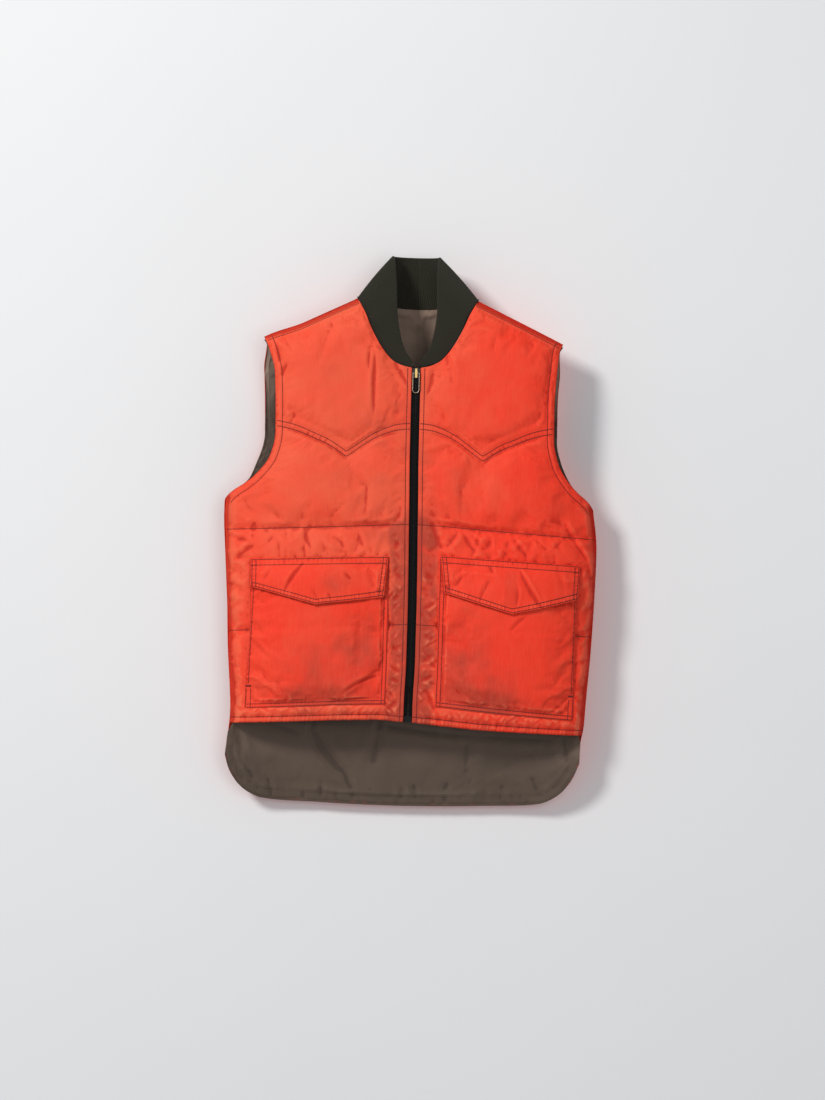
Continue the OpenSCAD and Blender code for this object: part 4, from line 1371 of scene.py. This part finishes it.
# ------------------------------------------------------------------ rib collar

# Two halves that meet at the centre back. Station s runs from 0 at the centre back over 1 at the
# shoulder to 2 at the zip. Top edge: s, x, y from Y_MID, z
COLLAR_TOP = [(0, 0, 13, 803), (0.4, 16, 10, 803), (0.7, 28, 1, 803), (1, 36, -12, 803),
              (1.12, 34, -22, 791), (1.25, 32, -31, 770), (1.55, 29, -42, 718),
              (1.8, 19.5, -44, 672), (2, 5.6, -44.2, 649.6)]
SHOULDER_X = NECK_W - 2
SHOULDER_Y = float((back_y(SHOULDER_X, 738.0) + front_y(SHOULDER_X, 738.0)) / 2)
# base edge in front of the shoulder: s, then x, y or z
BASE_X = [(1, SHOULDER_X), (1.25, 73), (1.55, 56.3), (1.8, 32.6), (2, 8)]
BASE_Y = [(1, SHOULDER_Y), (1.12, -27.3), (1.25, -32.3), (1.55, -36.3), (1.8, -36.5), (2, -39.7)]
BASE_Z = [(1, 742), (1.25, 721), (1.55, 684.8), (1.8, 654), (2, 644.6)]
# the right half's top leans in: s, shift
LEAN = [(0, 0), (0.7, 2), (1, 7), (1.12, 6), (1.25, 4.5), (1.55, 1), (2, 0)]
RIB_PITCH, COLLAR_TUCK = 2.35, 3.2


def collar_top(s):
    return np.stack([pchip(s, [(p[0], p[1]) for p in COLLAR_TOP]),
                     pchip(s, [(p[0], Y_MID + p[2]) for p in COLLAR_TOP]),
                     pchip(s, [(p[0], p[3]) for p in COLLAR_TOP])], -1)


def collar_base(s):
    behind = s < 1
    x = SHOULDER_X * np.minimum(s, 1)
    y = lerp(back_y(x, back_neck(x)) - 4.7, SHOULDER_Y, rise(s, 0.9, 0.1))
    z = back_neck(x) + 1.6 + 2.6 * np.minimum(s, 1) ** 6
    return np.stack([np.where(behind, SHOULDER_X * s, pchip(s, BASE_X)),
                     np.where(behind, y, pchip(s, BASE_Y)),
                     np.where(behind, z, pchip(s, BASE_Z))], -1)


def collar_half(sign, side):
    """One half of the collar. Returns the line of the seam at its foot."""
    s = linspace(0, 2, 800)
    middle = (collar_base(s) + collar_top(s)) / 2
    arc = np.concatenate([[0], np.cumsum(np.linalg.norm(np.diff(middle, axis=0), axis=1))])
    along = linspace(0, arc[-1], 1400)
    s = np.interp(along, arc, s)
    base, top = collar_base(s), collar_top(s)
    if sign > 0:
        top[:, 0] -= pchip(s, LEAN)
    # smooth the joins of the curves
    for _ in range(60):
        for line in (base, top):
            line[1:-1] = (line[:-2] + 2 * line[1:-1] + line[2:]) / 4
    up = top - base
    height = np.linalg.norm(up, axis=1)
    up /= height[:, None]
    normal = np.cross(up, np.gradient((base + top) / 2, axis=0))
    normal /= np.linalg.norm(normal, axis=1)[:, None]
    thick = lerp(4.2, 2.4, rise(s, 1.55, 0.4))

    def wall(part, facing):
        return (lerp(-COLLAR_TUCK, height - thick / 2, part), facing, 1.0 if part > 0.04 else 0.2)

    # the section, up one side, over a rounded top, down the other: height, facing, rib strength
    section = [wall(i / 14, 1.0) for i in range(15)]
    for i in range(1, 8):
        angle = math.pi * i / 8
        section.append((height - thick / 2 + thick / 2 * math.sin(angle), math.cos(angle), 0.75))
    section += [wall(1 - i / 14, -1.0) for i in range(15)]
    crest = 0.5 + 0.5 * np.cos(2 * np.pi * along / RIB_PITCH + 0.25 * np.sin(along / 9))
    rib = 0.62 * (crest ** 0.6) - 0.4
    wave = (0.9 * noise(along / 55 + 5 * sign, 1.0, 2.0)
            + 0.3 * noise(along / 18, 3.0 + sign, 2.0))
    grid = []
    for h, facing, strength in section:
        part = clamp(h / height)
        bulge = 1.5 * np.sin(np.pi * part) * rise(s, 0.1, 0.4) * (1 - rise(s, 1.7, 0.2))
        out = (facing * thick / 2 + facing * strength * rib * 0.8 + bulge
               + wave * part * smooth(along / 30) * (1 - rise(s, 1.6, 0.3)))
        grid.append(base + up * h[:, None] + normal * out[:, None])
    grid = np.array(grid)
    grid[..., 0] *= sign
    # the two halves meet at the centre line and never cross it
    grid[:, 0, 0] = 0
    rows, cols = grid.shape[:2]
    faces = [tuple(f) for f in grid_faces(rows, cols, sign > 0)]
    # close the ends, pairing the section's two walls; the last pair is a triangle at the top
    for col in (0, cols - 1):
        for i in range(rows // 2):
            levels = dict.fromkeys((i, i + 1, rows - 2 - i, rows - 1 - i))
            face = tuple(level * cols + col for level in levels)
            faces.append(face if (col == 0) == (sign > 0) else face[::-1])
    dirt = clamp(0.25 + 0.3 * noise(grid[0, :, 0] / 40, grid[0, :, 2] / 40, 2.0))
    # the rib's crest: the knit's material paints its grooves as shade and its crests lighter
    make_piece(f"rib_collar_{side}", grid, faces,
               attrs=dict(relief_light_and_wear=np.broadcast_to(crest, (rows, cols)),
                          fade=np.broadcast_to(dirt, (rows, cols)),
                          tone=np.full((rows, cols), 0.5)))
    cord = (base + normal * (thick / 2 + 0.7)[:, None] - up * 1.2)[::4]
    cord[:, 0] *= sign
    return cord


def neck_seam(side, points):
    """Dark cord in the join between collar and shell."""
    radius, sides = 0.75, 8
    tangents = np.gradient(points, axis=0)
    tangents /= np.linalg.norm(tangents, axis=1)[:, None] + 1e-9
    verts = []
    for p, t in zip(points, tangents):
        across = np.cross(t, (0, -1.0, 0.1))
        across /= np.linalg.norm(across) + 1e-9
        other = np.cross(t, across)
        for k in range(sides):
            angle = 2 * math.pi * k / sides
            verts.append(p + radius * (math.cos(angle) * across + math.sin(angle) * other))
    make_piece(f"neck_seam_{side}", verts, tube_faces(len(points), sides))


for sign, side in SIDES.items():
    neck_seam(side, collar_half(sign, side))

# ------------------------------------------------------------------ zip

# a tooth from foot to head: x, half height, half depth
TOOTH = [(3.5, 0.62, 1.25), (2.4, 0.62, 1.35), (1.5, 0.60, 1.35), (0.9, 0.46, 1.25),
         (0.3, 0.46, 1.2), (-0.25, 0.66, 1.25), (-0.75, 0.66, 1.2), (-1.0, 0.45, 0.95)]
# the tooth's section, a square with cut corners: y, z
CUT = 1 - 0.28
TOOTH_RING = [(-1, -CUT), (-1, CUT), (-CUT, 1), (CUT, 1), (1, CUT), (1, -CUT), (CUT, -1), (-CUT, -1)]
TOOTH_PITCH, TEETH_LOW, TEETH_HIGH = 2.9, 134.5, ZIP_TOP - 1.5
TEETH_GAP = (143.0, 176.0)  # as in the CAD, the slider comes to rest here and no teeth stand


def zip_tape(sign, side):
    """A long thin closed slab in many rows, its front face lightly ribbed."""
    rows, cols, half = 180, 6, 0.35
    verts = [(x * sign, ZIP_Y + layer * half + (0.12 * math.sin(z * 2.6) if layer < 0 else 0), z)
             for layer in (-1, 1)
             for z in linspace(HEM + 0.6, ZIP_TOP + 1, rows)
             for x in linspace(1.25, 13.0, cols)]
    count = rows * cols
    a = rim_of(rows, cols)
    b = np.roll(a, -1)
    edge = np.stack([a, a + count, b + count, b], -1)
    faces = np.concatenate([grid_faces(rows, cols, sign < 0),
                            grid_faces(rows, cols, sign > 0, count),
                            edge if sign > 0 else edge[:, ::-1]])
    make_piece(f"zip_tape_woven_{side}", verts, faces)


def zip_teeth(sign, side):
    """Moulded teeth: a waisted head that reaches past the zip line, and a foot on the tape."""
    verts, faces = [], []
    for i in range(int((TEETH_HIGH - TEETH_LOW) / TOOTH_PITCH)):
        z = TEETH_LOW + (i + (0.25 if sign > 0 else 0.75)) * TOOTH_PITCH
        if TEETH_GAP[0] < z < TEETH_GAP[1]:
            continue
        *wall, foot, head = tube_faces(len(TOOTH), len(TOOTH_RING), len(verts))
        faces += [f if sign > 0 else f[::-1] for f in wall]
        faces += [foot if sign > 0 else foot[::-1], head if sign > 0 else head[::-1]]
        for x, half_z, half_y in TOOTH:
            verts += [(x * sign, ZIP_Y + dy * half_y, z + dz * half_z) for dy, dz in TOOTH_RING]
    make_piece(f"zip_teeth_row_{side}", verts, faces, smooth_shade=False)


for sign, side in SIDES.items():
    zip_tape(sign, side)
    zip_teeth(sign, side)

# ------------------------------------------------------------------ how the vest hangs

# shifts in x and in z; rows are heights z, columns the places HANG_X
HANG_X = [-273, -240, -100, -38, -18, 0, 18, 38, 100, 240, 273]
HANG_DX = {
    0: [-9] * 11,
    50: [-8] * 11,
    100: [-5] * 11,
    122: [-3, -1, 3, 6, 0, 0, 0, 1, 2, 3, -2],
    158: [-2.8, 0, 3.4, 6.4, 0, 0, 0, 1, 2, 3.4, -1.8],
    200: [-2.5, 1, 4, 7, 2, 2, 2, 2, 2, 4, -1.5],
    290: [-1, 4, 6, 7, 2.5, 2.5, 2.5, 2.5, 3, 6, -1.5],
    358: [-3, 5.5, 7, 7, 2, 2, 2, 3, 4, 7.5, -2],
    392: [-3.5, 1, 4, 4, 1.5, 1.5, 1.5, 2, 2, 3, -2.5],
    445: [-7, -4, 0, 1, 1, 1, 1, 0, 0, -4, -7],
    506: [5, 4, 1, 0, 0, 0, 0, 0, 0, -3, -3],
    565: [3, 2.5, 1, 0, 0, 0, 0, 0, 0, -3, -4.4],
    610: [1.5, 1, 0, 0, 0, 0, 0, 0, 0, -3, -4],
    680: [0] * 11,
    810: [0] * 11,
}
HANG_DZ = {
    0: [0] * 11,
    60: [0] * 11,
    120: [4, 4, 5.2, 4.2, 0.4, -0.6, -2, -4.2, -6.6, -4.6, -3.4],
    145: [4, 4.2, 4.6, 3.4, 0.2, 0, 0, 2.6, 0.8, -1.6, -2.2],
    258: [-2.3, -1.5, 0, 0, 0, 0, 0, 0, 1, 1.5, 1.5],
    360: [1, 2, 1.5, 1, 1, 1, 1, 4, 3.5, 3, 2],
    405: [0, 0, 1, 2, 2, 2, 2, 2, 0, -3, -3.5],
    470: [0, 0, 0, 0, 0, 0, 0, 0, -2, -4, -4],
    552: [-5, -5, -2, -8, -9, -9, -9, -8, -5, -8, -8],
    620: [0, 0, 0, -1.5, -2, -2, -2, -1.5, 0, -2, -2],
    680: [0] * 11,
    810: [0] * 11,
}
HANG_COLS, HANG_ROWS = linspace(-290, 290, 146), linspace(-20, 820, 211)


def hang_table(table):
    heights = sorted(table)
    rows = np.array([np.interp(HANG_COLS, HANG_X, table[z]) for z in heights])
    return blur(np.array([np.interp(HANG_ROWS, heights, col) for col in rows.T]).T, 8)


HANG_TABLES = [hang_table(HANG_DX), hang_table(HANG_DZ)]


def table_place(values, ticks):
    """Index of the tick below each value, and the fraction on to the next one."""
    place = clamp((values - ticks[0]) / (ticks[1] - ticks[0]), 0, len(ticks) - 1.001)
    index = place.astype(int)
    return index, place - index


def hang(ob):
    co = np.empty(len(ob.data.vertices) * 3)
    ob.data.vertices.foreach_get("co", co)
    co = co.reshape(-1, 3) / MM
    x, z = co[:, 0], co[:, 2]
    j, v = table_place(z, HANG_ROWS)
    i, u = table_place(x, HANG_COLS)
    shift_x, shift_z = (a[j, i] * (1 - u) * (1 - v) + a[j, i + 1] * u * (1 - v)
                        + a[j + 1, i] * (1 - u) * v + a[j + 1, i + 1] * u * v
                        for a in HANG_TABLES)
    if "flap" in ob.name:
        down = (flap_top(np.abs(x)) - 4 - z) / 46
        shift_z = shift_z - np.interp(x, DROOP_X, DROOP) * smooth(down * 0.75) * 1.15
    # the left shoulder's tip is pulled out over the end of what it hangs on
    tip = rise(-x, 165, 42) * rise(z, 628, 52)
    co[:, 0] += shift_x - 9.5 * tip
    co[:, 2] += shift_z + 1.0 * tip
    ob.data.vertices.foreach_set("co", (co * MM).ravel())
    ob.data.update()


for ob in pieces.values():
    hang(ob)

# ------------------------------------------------------------------ materials, all procedural


class Mat:
    """A material and short ways to add nodes to it."""

    def __init__(self, name):
        self.material = bpy.data.materials.new(name)
        self.material.use_nodes = True
        self.tree = self.material.node_tree
        self.shader = self.tree.nodes["Principled BSDF"]

    @cached_property
    def coords(self):
        return self.node("ShaderNodeTexCoord").outputs["Object"]

    def node(self, kind, **settings):
        n = self.tree.nodes.new(kind)
        for key, value in settings.items():
            setattr(n, key, value)
        return n

    def feed(self, socket, value):
        """Link a socket to another, or set its value; colours are given without alpha."""
        if isinstance(value, tuple):
            socket.default_value = (*value, 1)
        elif isinstance(value, (int, float)):
            socket.default_value = value
        else:
            self.tree.links.new(value, socket)

    def attr(self, name):
        return self.node("ShaderNodeAttribute", attribute_name=name).outputs["Fac"]

    def noise(self, scale, detail, rough=0.55, vector=None, distort=0.0):
        n = self.node("ShaderNodeTexNoise")
        n.inputs["Scale"].default_value = scale
        n.inputs["Detail"].default_value = detail
        n.inputs["Roughness"].default_value = rough
        n.inputs["Distortion"].default_value = distort
        self.feed(n.inputs["Vector"], self.coords if vector is None else vector)
        return n.outputs["Fac"]

    def stretch(self, scale):
        n = self.node("ShaderNodeMapping")
        n.inputs["Scale"].default_value = scale
        self.feed(n.inputs["Vector"], self.coords)
        return n.outputs["Vector"]

    def math(self, operation, a, b):
        n = self.node("ShaderNodeMath", operation=operation)
        # these operations ignore the third input, which is held at zero
        for i, value in enumerate((a, b, 0.0)):
            self.feed(n.inputs[i], value)
        return n.outputs[0]

    def times(self, a, b):
        return self.math("MULTIPLY", a, b)

    def less(self, a, b):
        return self.math("SUBTRACT", a, b)

    def vary(self, value, noise, amount):
        """A value with centred noise added."""
        return self.math("ADD", value, self.times(self.less(noise, 0.5), amount))

    def ramp(self, value, low, high):
        n = self.node("ShaderNodeMapRange", interpolation_type="SMOOTHSTEP")
        n.inputs["From Min"].default_value = low
        n.inputs["From Max"].default_value = high
        self.feed(n.inputs["Value"], value)
        return n.outputs["Result"]

    def mix(self, factor, a, b):
        n = self.node("ShaderNodeMix", data_type="RGBA")
        self.feed(n.inputs["Factor"], factor)
        self.feed(n.inputs[6], a)
        self.feed(n.inputs[7], b)
        return n.outputs[2]

    def weave(self, pitch):
        """Over and under threads at a pitch in metres."""
        waves = []
        for direction in "XZ":
            n = self.node("ShaderNodeTexWave", wave_type="BANDS", bands_direction=direction)
            n.inputs["Scale"].default_value = 0.314 / pitch
            n.inputs["Distortion"].default_value = 0.3
            self.feed(n.inputs["Vector"], self.coords)
            waves.append(n.outputs["Fac"])
        return self.times(*waves)

    def bump(self, height, distance, strength):
        """Add a bump on top of the earlier ones; distance in metres."""
        n = self.node("ShaderNodeBump")
        n.inputs["Distance"].default_value = distance
        n.inputs["Strength"].default_value = strength
        self.feed(n.inputs["Height"], height)
        normal = self.shader.inputs["Normal"]
        if normal.is_linked:
            self.feed(n.inputs["Normal"], normal.links[0].from_socket)
        self.feed(normal, n.outputs["Normal"])

    def set(self, **inputs):
        for key, value in inputs.items():
            self.feed(self.shader.inputs[key.replace("_", " ")], value)


def nylon():
    mat = Mat("blaze_orange_nylon")
    relief_light_and_wear, fade, tone, highlight_and_rub = (mat.attr(name) for name in ("relief_light_and_wear", "fade", "tone", "highlight_and_rub"))
    patches = mat.noise(scale=30, detail=6)
    mottle = mat.noise(scale=150, detail=4)
    threads = mat.noise(scale=1.0, detail=3, vector=mat.stretch((420, 420, 40)))
    deep, bleached, grime_and_shade = (0.86, 0.040, 0.016), (0.81, 0.104, 0.047), (0.42, 0.048, 0.026)
    hollow_shade, rubbed_highlight = (0.46, 0.013, 0.005), (0.98, 0.205, 0.10)
    thread, lint = (0.95, 0.16, 0.09), (0.9, 0.40, 0.30)
    color = mat.mix(mat.ramp(mat.vary(tone, patches, 0.5), 0.0, 1.0), deep, bleached)
    # grime, and on the right front's outer strip painted shade, from the fade attribute
    dirt_and_side_shade = mat.ramp(mat.vary(fade, patches, 0.55), 0.12, 1.15)
    color = mat.mix(mat.times(dirt_and_side_shade, 0.92), color, grime_and_shade)
    # painted shade: darker red where the cloth sinks, in the folds' bottoms, beside the pockets and
    # below the flaps
    sunk = mat.ramp(mat.vary(mat.less(1.0, relief_light_and_wear), mottle, 0.25), 0.58, 0.95)
    color = mat.mix(mat.times(sunk, 0.72), color, hollow_shade)
    # painted highlight and rubbed wear: paler orange on raised folds, stronger near the hem, the
    # pockets' seams and the placket
    raised_highlight = mat.ramp(mat.vary(relief_light_and_wear, mottle, 0.30), 0.58, 0.95)
    highlight_and_rub_weight = mat.math("ADD", 0.12, mat.times(highlight_and_rub, 0.40))
    color = mat.mix(mat.times(raised_highlight, highlight_and_rub_weight), color, rubbed_highlight)
    # fine upright threads and specks of lint
    color = mat.mix(mat.times(mat.ramp(threads, 0.35, 0.75), 0.10), color, thread)
    specks = mat.ramp(mat.noise(scale=900, detail=2), 0.70, 0.80)
    color = mat.mix(mat.times(specks, 0.10), color, lint)
    mat.set(Base_Color=color, Roughness=0.66, Specular_IOR_Level=0.15, Sheen_Weight=0.03,
            Sheen_Roughness=0.5, Sheen_Tint=(1, 0.5, 0.35))
    mat.bump(mat.weave(0.00085), distance=0.00012, strength=0.3)
    mat.bump(mat.noise(scale=260, detail=4), distance=0.0006, strength=0.35)
    mat.bump(mat.noise(scale=60, detail=3, rough=0.5, distort=0.4), distance=0.0015, strength=0.25)
    return mat.material


def plain(name, color, rough, **inputs):
    mat = Mat(name)
    mat.set(Base_Color=color, Roughness=rough, **inputs)
    return mat.material


def lining():
    mat = Mat("brown_nylon_lining")
    relief_light_and_wear, fade = mat.attr("relief_light_and_wear"), mat.attr("fade")
    brown, dusty = (0.086, 0.058, 0.041), (0.108, 0.075, 0.055)
    raised_highlight, hollow_shade, painted_light_lining = (0.17, 0.13, 0.10), (0.035, 0.024, 0.017), (0.30, 0.205, 0.155)
    color = mat.mix(fade, brown, dusty)
    # painted highlight on raised folds and painted shade in sunk ones
    color = mat.mix(mat.times(mat.ramp(relief_light_and_wear, 0.60, 1.0), 0.22), color, raised_highlight)
    sunk = mat.ramp(mat.less(1.0, relief_light_and_wear), 0.6, 0.98)
    color = mat.mix(mat.times(sunk, 0.55), color, hollow_shade)
    # painted light: paler lining where the tone attribute marks the shaded inside of the neck and the
    # top of the tail
    color = mat.mix(mat.times(mat.attr("tone"), 0.95), color, painted_light_lining)
    mat.set(Base_Color=color, Roughness=0.72, Specular_IOR_Level=0.25, Sheen_Weight=0.06)
    mat.bump(mat.noise(scale=160, detail=5, rough=0.6), distance=0.0007, strength=0.5)
    mat.bump(mat.noise(scale=60, detail=3, rough=0.5, distort=0.8), distance=0.0014, strength=0.35)
    return mat.material


def rib_knit():
    mat = Mat("olive_rib_knit")
    relief_light_and_wear, fade = mat.attr("relief_light_and_wear"), mat.attr("fade")
    groove_shade, crest = (0.004, 0.0042, 0.0020), (0.026, 0.0255, 0.0135)
    dirt, fluff = (0.060, 0.046, 0.028), (0.12, 0.11, 0.085)
    # painted shade in the rib's grooves and painted highlight on its crests
    color = mat.mix(relief_light_and_wear, groove_shade, crest)
    color = mat.mix(mat.times(fade, 0.35), color, dirt)
    specks = mat.ramp(mat.noise(scale=1100, detail=3), 0.6, 0.75)
    color = mat.mix(mat.times(specks, 0.25), color, fluff)
    mat.set(Base_Color=color, Roughness=0.93, Specular_IOR_Level=0.15, Sheen_Weight=0.10,
            Sheen_Roughness=0.6)
    mat.bump(mat.noise(scale=1500, detail=3), distance=0.0006, strength=0.6)
    return mat.material


def orange_thread():
    mat = Mat("dark_orange_thread")
    color = mat.mix(mat.noise(scale=120, detail=2), (0.10, 0.003, 0.002), (0.20, 0.008, 0.004))
    mat.set(Base_Color=color, Roughness=0.6)
    mat.bump(mat.noise(scale=2200, detail=2), distance=0.0002, strength=0.5)
    return mat.material


def dark(name, color, rough, woven=0.0, shine=0.5):
    """A dark, slightly mottled material, with a weave if woven is above 0."""
    mat = Mat(name)
    lighter = tuple(v * 1.8 + 0.002 for v in color)
    mat.set(Base_Color=mat.mix(mat.noise(scale=300, detail=4), color, lighter), Roughness=rough,
            Specular_IOR_Level=shine)
    if woven:
        mat.bump(mat.weave(0.0007), distance=0.0002, strength=woven)
    return mat.material


def brass():
    mat = Mat("worn_brass")
    color = mat.mix(mat.noise(scale=220, detail=4), (0.60, 0.40, 0.15), (0.36, 0.23, 0.09))
    rough = mat.math("ADD", mat.times(mat.noise(scale=400, detail=3), 0.25), 0.18)
    mat.set(Base_Color=color, Roughness=rough, Metallic=1.0)
    return mat.material


NYLON, LINING, RIB, THREAD = nylon(), lining(), rib_knit(), orange_thread()
BROWN_THREAD = plain("brown_thread", (0.12, 0.085, 0.060), rough=0.7)
RED_THREAD = plain("dark_red_thread", (0.16, 0.010, 0.008), rough=0.6)
TAPE = dark("black_woven_tape", (0.004, 0.0035, 0.0035), rough=0.95, woven=0.6, shine=0.05)
PLASTIC = dark("black_moulded_plastic", (0.003, 0.0028, 0.0028), rough=0.5, shine=0.16)
ENAMEL = dark("black_enamel", (0.004, 0.004, 0.004), rough=0.35, shine=0.3)
WIRE = plain("dull_metal_wire", (0.34, 0.29, 0.21), rough=0.34, Metallic=1.0)
BRASS = brass()
HOOK = dark("dark_brown_hook_strip", (0.030, 0.020, 0.014), rough=0.9, woven=0.8)
SEAM = dark("dark_seam", (0.010, 0.008, 0.006), rough=0.9)

# ------------------------------------------------------------------ materials and frame links


def dress(ob, material):
    ob.data.materials.clear()
    ob.data.materials.append(material)


def dressed(name, material):
    ob = pieces[name]
    dress(ob, material)
    return ob


def blend_front(ob):
    """Bakes the transform of a piece on a front into its mesh."""
    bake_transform(ob)


def dress_side(side):
    shell = dressed(f"shell_front_{side}", NYLON)
    blend_front(shell)
    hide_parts(f"front_{side}_shell", f"lapel_{side}_shell", f"yoke_{side}",
                f"lapel_{side}_yoke", f"front_{side}_fill", f"lapel_{side}_fill")
    inner = dressed(f"lining_front_{side}", LINING)
    blend_front(inner)
    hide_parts(f"front_{side}_lining", f"lapel_{side}_lining")
    blend_front(dressed(f"stitches_front_{side}", THREAD))

    pocket = dressed(f"pocket_patch_{side}", NYLON)
    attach(pocket, "root")
    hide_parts(f"pocket_{side}", f"pocket_backing_{side}")
    loop = dressed(f"pocket_loop_strip_{side}", HOOK)
    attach(loop, "root")
    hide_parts(f"pocket_loop_{side}")
    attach(dressed(f"stitches_pocket_{side}", THREAD), "root")
    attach(dressed(f"bar_tack_{side}", RED_THREAD), "root")

    # the top seam stays sewn to the front; the flap and its stitches are baked in place
    for name, material in (("pocket_flap", NYLON), ("stitches_flap", THREAD)):
        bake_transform(dressed(f"{name}_{side}", material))
    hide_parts(f"flap_{side}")
    hook = dressed(f"flap_hook_strip_{side}", HOOK)
    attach(hook, f"flap_{side}")
    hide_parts(f"flap_hook_{side}")

    # the collar and its seam cord are baked in place
    for name, material in (("rib_collar", RIB), ("neck_seam", SEAM)):
        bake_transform(dressed(f"{name}_{side}", material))
    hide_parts(f"collar_{side}", "collar_back")

    tape = dressed(f"zip_tape_woven_{side}", TAPE)
    blend_front(tape)
    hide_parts(f"zip_tape_{side}", "zip_tapes_lower")
    teeth = dressed(f"zip_teeth_row_{side}", PLASTIC)
    blend_front(teeth)
    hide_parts(f"zip_teeth_{side}", "zip_teeth_lower")


for sign, side in SIDES.items():
    dress_side(side)
for name, material, slot, nodes in (
        ("shell_back", NYLON, "shell_nylon", ("back_shell", "back_fill")),
        ("lining_back", LINING, "lining_nylon", ("back_lining",))):
    ob = dressed(name, material)
    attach(ob, "root")
    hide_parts(*nodes)
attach(dressed("stitches_back", THREAD), "root")
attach(dressed("stitches_tail", BROWN_THREAD), "root")

# hard zip parts stay as packed, with rounded edges: node, material, edge radius
HARD_PARTS = [
    ("retainer_box", PLASTIC, 0.5), ("insertion_pin", PLASTIC, 0.2),
    ("top_stop_left", PLASTIC, 0.3), ("top_stop_right", PLASTIC, 0.3),
    ("slider_body", ENAMEL, 0.45), ("slider_rail", BRASS, 0.3), ("pull_loop", WIRE, 0.0),
]
for node, material, radius in HARD_PARTS:
    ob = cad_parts[node]
    dress(ob, material)
    if radius:
        bevel = ob.modifiers.new("edges", "BEVEL")
        bevel.width = radius * MM
        bevel.segments = 3
        bevel.limit_method = "ANGLE"
        bevel.angle_limit = math.radians(35)
    for polygon in ob.data.polygons:
        polygon.use_smooth = True

# ------------------------------------------------------------------ floor, wall, light, camera
# from here on lengths are in metres


def stage_plane(name, location, rotation):
    bpy.ops.mesh.primitive_plane_add(size=1, location=location, rotation=rotation)
    ob = bpy.context.object
    ob.name = name
    ob.scale = (9, 6, 1)
    return ob


def stage_material(name, color):
    """Seen by the camera from the front only, so that other views can look through it."""
    mat = Mat(name)
    position = mat.node("ShaderNodeNewGeometry").outputs["Position"]
    clouds = mat.noise(scale=2.2, detail=4, vector=position)
    mat.set(Base_Color=mat.mix(clouds, color, tuple(v * 0.96 for v in color)), Roughness=0.95,
            Specular_IOR_Level=0.1)
    camera_ray = mat.node("ShaderNodeLightPath").outputs["Is Camera Ray"]
    behind = mat.node("ShaderNodeNewGeometry").outputs["Backfacing"]
    seen = mat.times(camera_ray, mat.less(1.0, behind))
    mix = mat.node("ShaderNodeMixShader")
    mat.feed(mix.inputs[0], seen)
    mat.feed(mix.inputs[1], mat.node("ShaderNodeBsdfTransparent").outputs[0])
    mat.feed(mix.inputs[2], mat.shader.outputs[0])
    mat.feed(mat.tree.nodes["Material Output"].inputs["Surface"], mix.outputs[0])
    return mat.material


def area_light(name, location, aim, size, watts, color=(1, 1, 1)):
    light = bpy.data.lights.new(name, "AREA")
    light.shape = "DISK"
    light.size = size
    light.energy = watts
    light.color = color
    ob = bpy.data.objects.new(name, light)
    ob.location = location
    ob.rotation_euler = (Vector(aim) - Vector(location)).to_track_quat("-Z", "Y").to_euler()
    bpy.context.scene.collection.objects.link(ob)


def add_camera(aim, distance, view_width, roll):
    """Looks along +y; view_width is what it sees across at the aim, roll is in degrees."""
    camera = bpy.data.cameras.new("camera")
    camera.sensor_fit = "HORIZONTAL"
    camera.sensor_width = 36
    camera.lens = 36 * distance / view_width
    ob = bpy.data.objects.new("camera", camera)
    bpy.context.scene.collection.objects.link(ob)
    ob.location = aim + Vector((0, -distance, 0))
    turn = (aim - ob.location).to_track_quat("-Z", "Y").to_matrix().to_4x4()
    ob.matrix_world = (Matrix.Translation(ob.location) @ turn
                       @ Matrix.Rotation(math.radians(roll), 4, "Z"))
    bpy.context.scene.camera = ob


wall = stage_plane("wall", (0, 0.062, 0.6), (math.radians(90), 0, 0))
wall.data.materials.append(stage_material("pale_wall", (0.80, 0.80, 0.80)))
floor = stage_plane("floor", (0, -1.5, -0.55), (0, 0, 0))
floor.data.materials.append(stage_material("pale_floor", (0.70, 0.69, 0.67)))

area_light("key", location=(-2.6, -3.6, 2.6), aim=(0, 0, 0.35), size=1.1, watts=156,
           color=(1.0, 0.99, 0.975))
area_light("fill", location=(0.9, -4.6, 0.7), aim=(0, 0, 0.35), size=2.2, watts=42,
           color=(0.98, 0.99, 1.0))
area_light("behind", location=(0.6, 2.6, 1.6), aim=(0, 0, 0.4), size=1.6, watts=30)

scene = bpy.context.scene
world = scene.world or bpy.data.worlds.new("grey")
scene.world = world
world.use_nodes = True
world_nodes = world.node_tree.nodes
background = world_nodes.get("Background") or world_nodes.new("ShaderNodeBackground")
background.inputs["Color"].default_value = (0.92, 0.95, 1.0, 1)
background.inputs["Strength"].default_value = 0.39
scene.view_settings.view_transform = "Standard"
scene.view_settings.look = "None"
scene.view_settings.exposure = 0.0

add_camera(aim=Vector((0.0009, 0.0, 0.3746)), distance=7.0, view_width=1.208, roll=1.4)
